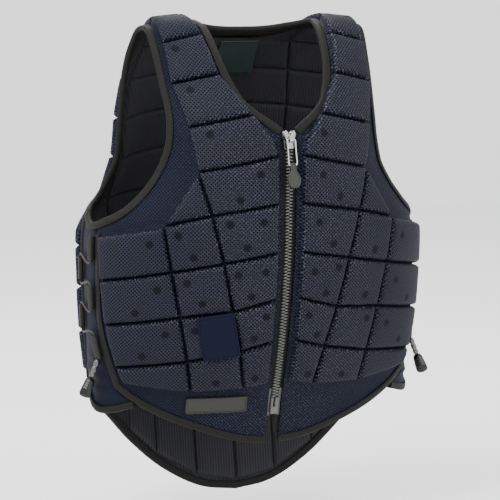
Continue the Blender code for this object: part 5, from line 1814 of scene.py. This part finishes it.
for hand, flip in HANDS:
    film = cloth_sweep(f"clear_film_{hand}", film_path, flip, FILM_SECTION, film_finish)
    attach(film, "vest")
print("film:", FILM_LENGTH * 1000, "mm long on each side")

# %% [markdown]
# ## Slider and puller
#
# The slider is two plates with a wedge between them that parts the two rows of teeth. At the
# top its shoulders spread, and a small bridge on its face holds the pull. All its parts are flat
# outlines with a thickness and softened edges, so one function makes them. The pull is a
# rectangular wire loop with a drop of rubber moulded round its foot, and it swings
# on the bridge, so these two pieces ride on the moving body.

# %% Slider
SLIDER_LENGTH = 0.0200
SLIDER_HALF_WIDTH = 0.0068
SLIDER_HALF_DEPTH = 0.0046
PLATE_THICK = 0.0014
FLANGE_WIDTH = 0.0012
BRIDGE_HALF_WIDTH = 0.0021
BRIDGE_WALL = 0.0016
BRIDGE_ROOT = 0.0012
BRIDGE_SINK = 0.0006
SHOULDER_BEND = 0.0016
WEDGE_BEND = 0.0008
SLIDER_EDGE = 0.0003
EYE_RADIUS = 0.0016
EYE_LIFT = 0.0024
HINGE_LIFT = SLIDER_HALF_DEPTH + EYE_LIFT
SLIDER_MIDDLE = ZIP_TOP - SLIDER_LENGTH / 2 - SEAM_GAP
ARCH_STEPS = 12
RIGHT = Vector((1, 0, 0))


def zip_frame(down):
    """Origin, outward and upward directions on the zip at a row."""
    here, out, below = cloth([(0, down), (0, down), (0, down + 0.01)], [0.0, 0.01, 0.0])
    outward = Vector(out - here).normalized()
    upward = Vector(here - below).normalized()
    upward = (upward - outward * upward.dot(outward)).normalized()
    return Vector(here), outward, upward


def rounded_corners(corners, reach, steps=5):
    """Closed outline with a smooth curve in place of each corner."""
    corners = np.asarray(corners, float)
    result = []
    for before, here, after in zip(np.roll(corners, 1, 0), corners, np.roll(corners, -1, 0)):
        one, two = before - here, after - here
        one *= min(reach, np.hypot(*one) * 0.45) / np.hypot(*one)
        two *= min(reach, np.hypot(*two) * 0.45) / np.hypot(*two)
        for t in np.linspace(0, 1, steps):
            result.append(here + one * (1 - t) ** 2 + two * t**2)
    return np.array(result)


def both_sides(half, middle=()):
    """A right half, an optional point on the centre line, and the half mirrored back."""
    return list(half) + list(middle) + [(-a, b) for a, b in half[::-1]]


def slab(outline, origin, first, second, third, low, high):
    """Points of an outline at two heights, and the faces of the slab between them."""
    points = []
    for depth in (low, high):
        points.extend(origin + first * a + second * b + third * depth for a, b in outline)
    return points, ring_faces(2, len(outline), False)


def join_shells(name, shells, material, edge):
    """One piece from several closed shells, with its edges softened."""
    points, faces = [], []
    for shell_points, shell_faces in shells:
        start = len(points)
        points.extend(shell_points)
        faces.extend(tuple(i + start for i in face) for face in shell_faces)
    piece = new_mesh(name, points, faces, [material], sharp=35)
    outward_faces(piece)
    soften(piece, edge)
    return piece


slider_at, slider_out, slider_up = zip_frame(SLIDER_MIDDLE)
print("slider's middle:", [round(v, 4) for v in slider_at])

# %% Build the slider
half, width = SLIDER_LENGTH / 2, SLIDER_HALF_WIDTH
shoulder_half = [
    (width * 0.66, -half),
    (width * 0.74, half * 0.05),
    (width, half * 0.55),
    (width * 0.80, half),
    (width * 0.50, half),
]
shoulders = rounded_corners(both_sides(shoulder_half, [(0.0, half * 0.15)]), SHOULDER_BEND)
flange_out, flange_in = width * 0.66, width * 0.66 - FLANGE_WIDTH
flange = [
    (flange_out, -half * 0.96),
    (flange_out, -half * 0.1),
    (flange_in, -half * 0.1),
    (flange_in, -half * 0.96),
]
wedge_corners = [(-width * 0.34, half * 0.5), (0.0, -half * 0.1), (width * 0.34, half * 0.5)]
wedge = rounded_corners(wedge_corners, WEDGE_BEND)
rim = EYE_RADIUS + BRIDGE_WALL
arc = [(math.cos(t), math.sin(t)) for t in np.linspace(0, math.pi, ARCH_STEPS)]
arch = [(-rim - BRIDGE_ROOT, -BRIDGE_SINK)]
arch += [(-c * rim, EYE_LIFT + s * rim) for c, s in arc]
arch += [(rim + BRIDGE_ROOT, -BRIDGE_SINK), (EYE_RADIUS, -BRIDGE_SINK)]
arch += [(c * EYE_RADIUS, EYE_LIFT + s * EYE_RADIUS) for c, s in arc]
arch += [(-EYE_RADIUS, -BRIDGE_SINK)]
plate = SLIDER_HALF_DEPTH - PLATE_THICK
axes = (slider_at, RIGHT, slider_up, slider_out)
bridge_axes = (slider_at + slider_out * SLIDER_HALF_DEPTH, slider_up, slider_out, RIGHT)
slider_shells = [
    slab(shoulders, *axes, plate, SLIDER_HALF_DEPTH),
    slab(shoulders, *axes, -SLIDER_HALF_DEPTH, -plate),
    slab(wedge, *axes, -plate, plate),
    slab(arch, *bridge_axes, -BRIDGE_HALF_WIDTH, BRIDGE_HALF_WIDTH),
]
for _, flip in HANDS:
    rail = [(a * flip, b) for a, b in flange]
    for low, high in ((-0.98, -0.45), (0.45, 0.98)):
        slider_shells.append(slab(rail, *axes, plate * low, plate * high))
slider = join_shells("metal_slider", slider_shells, bright_metal, SLIDER_EDGE)
put_on(slider, "zip_slider", slot="bare_metal")
print("slider:", SLIDER_LENGTH * 1000, "mm tall")

# %% Wire loop
WIRE_RADIUS = 0.0009
WIRE_HALF_WIDTH = 0.0047
WIRE_LENGTH = 0.0290
WIRE_SHOULDER = 0.0020
PULL_NECK_HALF_WIDTH = 0.0034
PULL_HANG = math.radians(4)
WIRE_SIDES = 12
hinge = slider_at + slider_out * HINGE_LIFT
hang = (-slider_up * math.cos(PULL_HANG) + slider_out * math.sin(PULL_HANG)).normalized()
pull_face = RIGHT.cross(hang).normalized()
if pull_face.dot(slider_out) < 0:
    pull_face = -pull_face
loop_half = [
    (WIRE_HALF_WIDTH, 0.0),
    (WIRE_HALF_WIDTH, WIRE_LENGTH * 0.6),
    (PULL_NECK_HALF_WIDTH + EYE_RADIUS, WIRE_LENGTH - WIRE_SHOULDER),
    (PULL_NECK_HALF_WIDTH, WIRE_LENGTH),
]
loop_outline = rounded_corners(both_sides(loop_half), WIRE_SHOULDER, 6)
loop_points = [hinge + RIGHT * a + hang * b for a, b in loop_outline]
loop = round_cord(
    "wire_loop", loop_points, np.tile(pull_face, (len(loop_points), 1)),
    WIRE_RADIUS, WIRE_SIDES, [bright_metal], closed=True,
)
put_on(loop, "pull_wire", slot="bare_metal", body="zip_pull")
print("wire loop:", WIRE_LENGTH * 1000, "mm")

# %% Rubber drop
PULL_LENGTH = 0.0280
PULL_HALF_WIDTH = 0.0075
PULL_HALF_DEPTH = 0.0023
DROP_NECK_LENGTH = 0.0060
DROP_BEND = 0.0030
DROP_OVERLAP = 0.0014
DROP_RIM = (
    (0.0009, -1.0), (0.0002, -0.75), (0.0, -0.35), (0.0, 0.35),
    (0.0002, 0.75), (0.0008, 1.0), (0.0013, 0.98), (0.0017, 0.72),
)


def cushion(name, outline, origin, first, second, third, half_depth, material):
    """Closed shell from insets of an outline, each at a share of the half depth."""
    points = []
    for inset, lift in DROP_RIM:
        for a, b in inset_polygon(outline, inset):
            points.append(origin + first * a + second * b + third * lift * half_depth)
    faces = ring_faces(len(DROP_RIM), len(outline), False)
    piece = new_mesh(name, points, faces, [material], sharp=50)
    outward_faces(piece)
    return piece


drop_half = [
    (PULL_NECK_HALF_WIDTH, 0.0),
    (PULL_NECK_HALF_WIDTH, DROP_NECK_LENGTH),
    (PULL_NECK_HALF_WIDTH * 1.02, PULL_LENGTH * 0.36),
    (PULL_HALF_WIDTH, PULL_LENGTH * 0.54),
    (PULL_HALF_WIDTH, PULL_LENGTH * 0.80),
    (PULL_HALF_WIDTH * 0.55, PULL_LENGTH),
]
drop_outline = rounded_corners(both_sides(drop_half), DROP_BEND, 4)
drop_origin = hinge + hang * (WIRE_LENGTH - EYE_RADIUS - DROP_OVERLAP)
drop = cushion(
    "rubber_drop", drop_outline, drop_origin, RIGHT, hang, pull_face, PULL_HALF_DEPTH, soft_rubber
)
put_on(drop, "rubber_puller", slot="soft_rubber", body="zip_pull")
print("rubber drop:", PULL_LENGTH * 1000, "mm")

# %% [markdown]
# ## Tab, badge and labels
#
# The last pieces lie on the cloth: a hook-and-loop tab over the blocks, a rubber badge with a
# raised border on the flat hem, a satin label at the neck and a small tag at the hem inside.
# They bend with the vest, so each is a grid of points over the cloth. The grid is fine near its
# edges, where a short table raises a border or sinks a line, and its corners can be rounded.

# %% Patches that follow the cloth
EDGE_TICKS = (0.0, 0.0003, 0.0006, 0.0010, 0.0014, 0.0019, 0.0025, 0.0032, 0.0040)
PATCH_STEP = 0.0025
CROWN_SLACK = 0.0004
CROWN_ROOM = CROWN + CROWN_SLACK
ON_BLOCK = OUTER_RISE + CROWN_ROOM + SEAM_GAP
IN_BLOCK = INNER_RISE + CROWN_ROOM + SEAM_GAP
ON_WEB = WEB_HALF + SEAM_GAP


def ticks(length):
    """Shares of a side, dense near both of its ends."""
    near = [t for t in EDGE_TICKS if t < length * 0.3]
    middle = np.linspace(near[-1], length - near[-1], max(3, int(length / PATCH_STEP)))
    return np.unique(np.concatenate((near, middle, [length - t for t in near]))) / length


def cloth_patch(name, corners, lift, face, rim, corner, material):
    """Thin piece on the cloth. rim gives (distance from the edge, thickness) pairs."""
    a, b, c, d = (np.asarray(p, float) for p in corners)
    wide, tall = np.hypot(*(b - a)), np.hypot(*(d - a))
    places, thick, layout = [], [], []
    across_ticks, down_ticks = ticks(wide), ticks(tall)
    for t in down_ticks:
        for s in across_ticks:
            u, v = min(s, 1 - s) * wide, min(t, 1 - t) * tall
            thick.append(np.interp(min(u, v), *zip(*rim)))
            if corner and u < corner and v < corner:
                p, q = corner - u, corner - v
                squash = max(p, q) / math.hypot(p, q)
                u, v = corner - p * squash, corner - q * squash
            s2 = u / wide if s < 0.5 else 1 - u / wide
            t2 = v / tall if t < 0.5 else 1 - v / tall
            places.append((a * (1 - s2) + b * s2) * (1 - t2) + (d * (1 - s2) + c * s2) * t2)
            layout.append((s2 * wide, t2 * tall))
    low = cloth(places, np.full(len(places), face * lift))
    high = cloth(places, face * (lift + np.array(thick)))
    columns, rows, count = len(across_ticks), len(down_ticks), len(places)
    faces = []
    for r in range(rows - 1):
        for k in range(columns - 1):
            i = r * columns + k
            quad = (i, i + 1, i + columns + 1, i + columns)
            faces.append(quad[::-1])
            faces.append(tuple(v + count for v in quad))
    edge = list(range(columns)) + [r * columns + columns - 1 for r in range(1, rows)]
    edge += [(rows - 1) * columns + k for k in range(columns - 2, -1, -1)]
    edge += [r * columns for r in range(rows - 2, 0, -1)]
    for i, j in zip(edge, edge[1:] + edge[:1]):
        faces.append((i, j, j + count, i + count))
    piece = new_mesh(name, np.vstack((low, high)), faces, [material], sharp=60)
    lay_out(piece, layout * 2)
    outward_faces(piece)
    return piece


print("patch cells:", PATCH_STEP * 1000, "mm")

# %% Satin and tab cloth
WEAVE_DEPTH = 0.00012
WEAVE_SHARE = 0.6
WORN_SHARE = 0.4
WORN_SCALE = 60.0


def woven_cloth(name, colour, thread, pitch, roughness, shine):
    """Smooth woven cloth: fine crossing threads."""
    material, shader, tree = paint(name, colour, roughness, specular=shine)
    place, across, down = cloth_place(tree)
    weave = lattice(tree, across, down, pitch)
    worn = cloud(tree, place, WORN_SCALE)
    woven = maths(tree, "MULTIPLY", weave, WEAVE_SHARE)
    shade = maths(tree, "MULTIPLY_ADD", worn, WORN_SHARE, woven)
    colour_by(tree, shader, shade, colour, thread)
    sink(tree, shader, weave, WEAVE_DEPTH, 0.5)
    return material


def upright(left, top, width, height):
    """Corners of an upright patch, in order round it."""
    right, foot = left + width, top + height
    return ((left, top), (right, top), (right, foot), (left, foot))


print("woven bump:", WEAVE_DEPTH * 1000, "mm")

# %% Hook-and-loop tab
TAB_WIDTH = 0.0400
TAB_INSET = 0.0020
TAB_FALL = 0.0060
TAB_CORNER = 0.0020
TAB_RIM = (
    (0.0, 0.0008), (0.0006, 0.0014), (0.0019, 0.0014),
    (0.0025, 0.0009), (0.0032, 0.0014), (0.004, 0.0015),
)
TAB_NAVY = (0.0022, 0.0032, 0.0110)
TAB_THREAD = (0.0040, 0.0056, 0.0160)
(top_x, top_y), (foot_x, foot_y) = (
    (seam.strap_at * FRONT_SIDE, seam.strap * FRONT_HEM) for seam in FRONT_SEAMS[7:9]
)
tab_corners = (
    (-top_x - TAB_WIDTH, top_y - TAB_INSET + TAB_FALL),
    (-top_x, top_y - TAB_INSET),
    (-foot_x, foot_y + TAB_INSET),
    (-foot_x - TAB_WIDTH, foot_y + TAB_INSET + TAB_FALL),
)
tab_finish = woven_cloth("navy_tab_cloth", TAB_NAVY, TAB_THREAD, 0.0010, 0.6, 0.06)
tab = cloth_patch("sewn_tab", tab_corners, ON_BLOCK, 1.0, TAB_RIM, TAB_CORNER, tab_finish)
put_on(tab, "hook_loop_tab", slot="hook_tape")
print("tab:", TAB_WIDTH * 1000, "mm wide")

# %% Rubber badge
BADGE_LEFT = -0.104
BADGE_RIGHT = -0.034
BADGE_WIDTH = BADGE_RIGHT - BADGE_LEFT
BADGE_HEIGHT = 0.0200
BADGE_ABOVE_HEM = 0.0400
BADGE_CORNER = 0.0024
BADGE_RIM = (
    (0.0, 0.0008), (0.0006, 0.0023), (0.0014, 0.0025),
    (0.0019, 0.0014), (0.0025, 0.0011), (0.004, 0.0012),
)
badge_top = FRONT_HEM - BADGE_ABOVE_HEM - BADGE_HEIGHT
badge_corners = upright(BADGE_LEFT, badge_top, BADGE_WIDTH, BADGE_HEIGHT)
badge_rubber = moulded("dark_badge_rubber", (0.0150, 0.0152, 0.0125), 0.5)
badge = cloth_patch(
    "moulded_badge", badge_corners, ON_WEB, 1.0, BADGE_RIM, BADGE_CORNER, badge_rubber
)
put_on(badge, "rubber_badge", slot="soft_rubber")
print("badge:", round(BADGE_WIDTH * 1000), "by", round(BADGE_HEIGHT * 1000), "mm")

# %% Labels inside
LABEL_HALF_WIDTH = 0.0235
LABEL_HEIGHT = 0.0460
LABEL_BELOW_NECK = 0.0100
LABEL_RIM = ((0.0, 0.0005), (0.0006, 0.0009), (0.0014, 0.0010), (0.0019, 0.0008), (0.004, 0.0008))
SATIN_PITCH = 0.0009
SATIN_SHINE = 0.3
LABEL_GREEN = (0.0045, 0.0140, 0.0110)
LABEL_THREAD = (0.0090, 0.0230, 0.0185)
TAG_SIDE = 0.0240
TAG_INNER = 0.0660
TAG_ABOVE_HEM = 0.0560
TAG_TEAL = (0.0080, 0.1100, 0.1450)
TAG_THREAD = (0.0150, 0.1600, 0.2050)
label_top = -BACK_NECK_DROP - LABEL_BELOW_NECK
label_corners = upright(-LABEL_HALF_WIDTH, label_top, 2 * LABEL_HALF_WIDTH, -LABEL_HEIGHT)
green_satin = woven_cloth(
    "green_satin", LABEL_GREEN, LABEL_THREAD, SATIN_PITCH, 0.42, SATIN_SHINE
)
label = cloth_patch(
    "neck_satin_label", label_corners, IN_BLOCK, -1.0, LABEL_RIM, 0.0, green_satin
)
put_on(label, "neck_label", slot="neck_cloth")
tag_corners = upright(TAG_INNER, TAG_ABOVE_HEM + TAG_SIDE - BACK_HEM, TAG_SIDE, -TAG_SIDE)
teal_satin = woven_cloth("teal_satin", TAG_TEAL, TAG_THREAD, SATIN_PITCH, 0.45, SATIN_SHINE)
tag = cloth_patch("hem_care_tag", tag_corners, IN_BLOCK, -1.0, LABEL_RIM, 0.0, teal_satin)
put_on(tag, "care_tag", slot="tag_cloth")
print("label:", 2 * LABEL_HALF_WIDTH * 1000, "by", LABEL_HEIGHT * 1000, "mm")
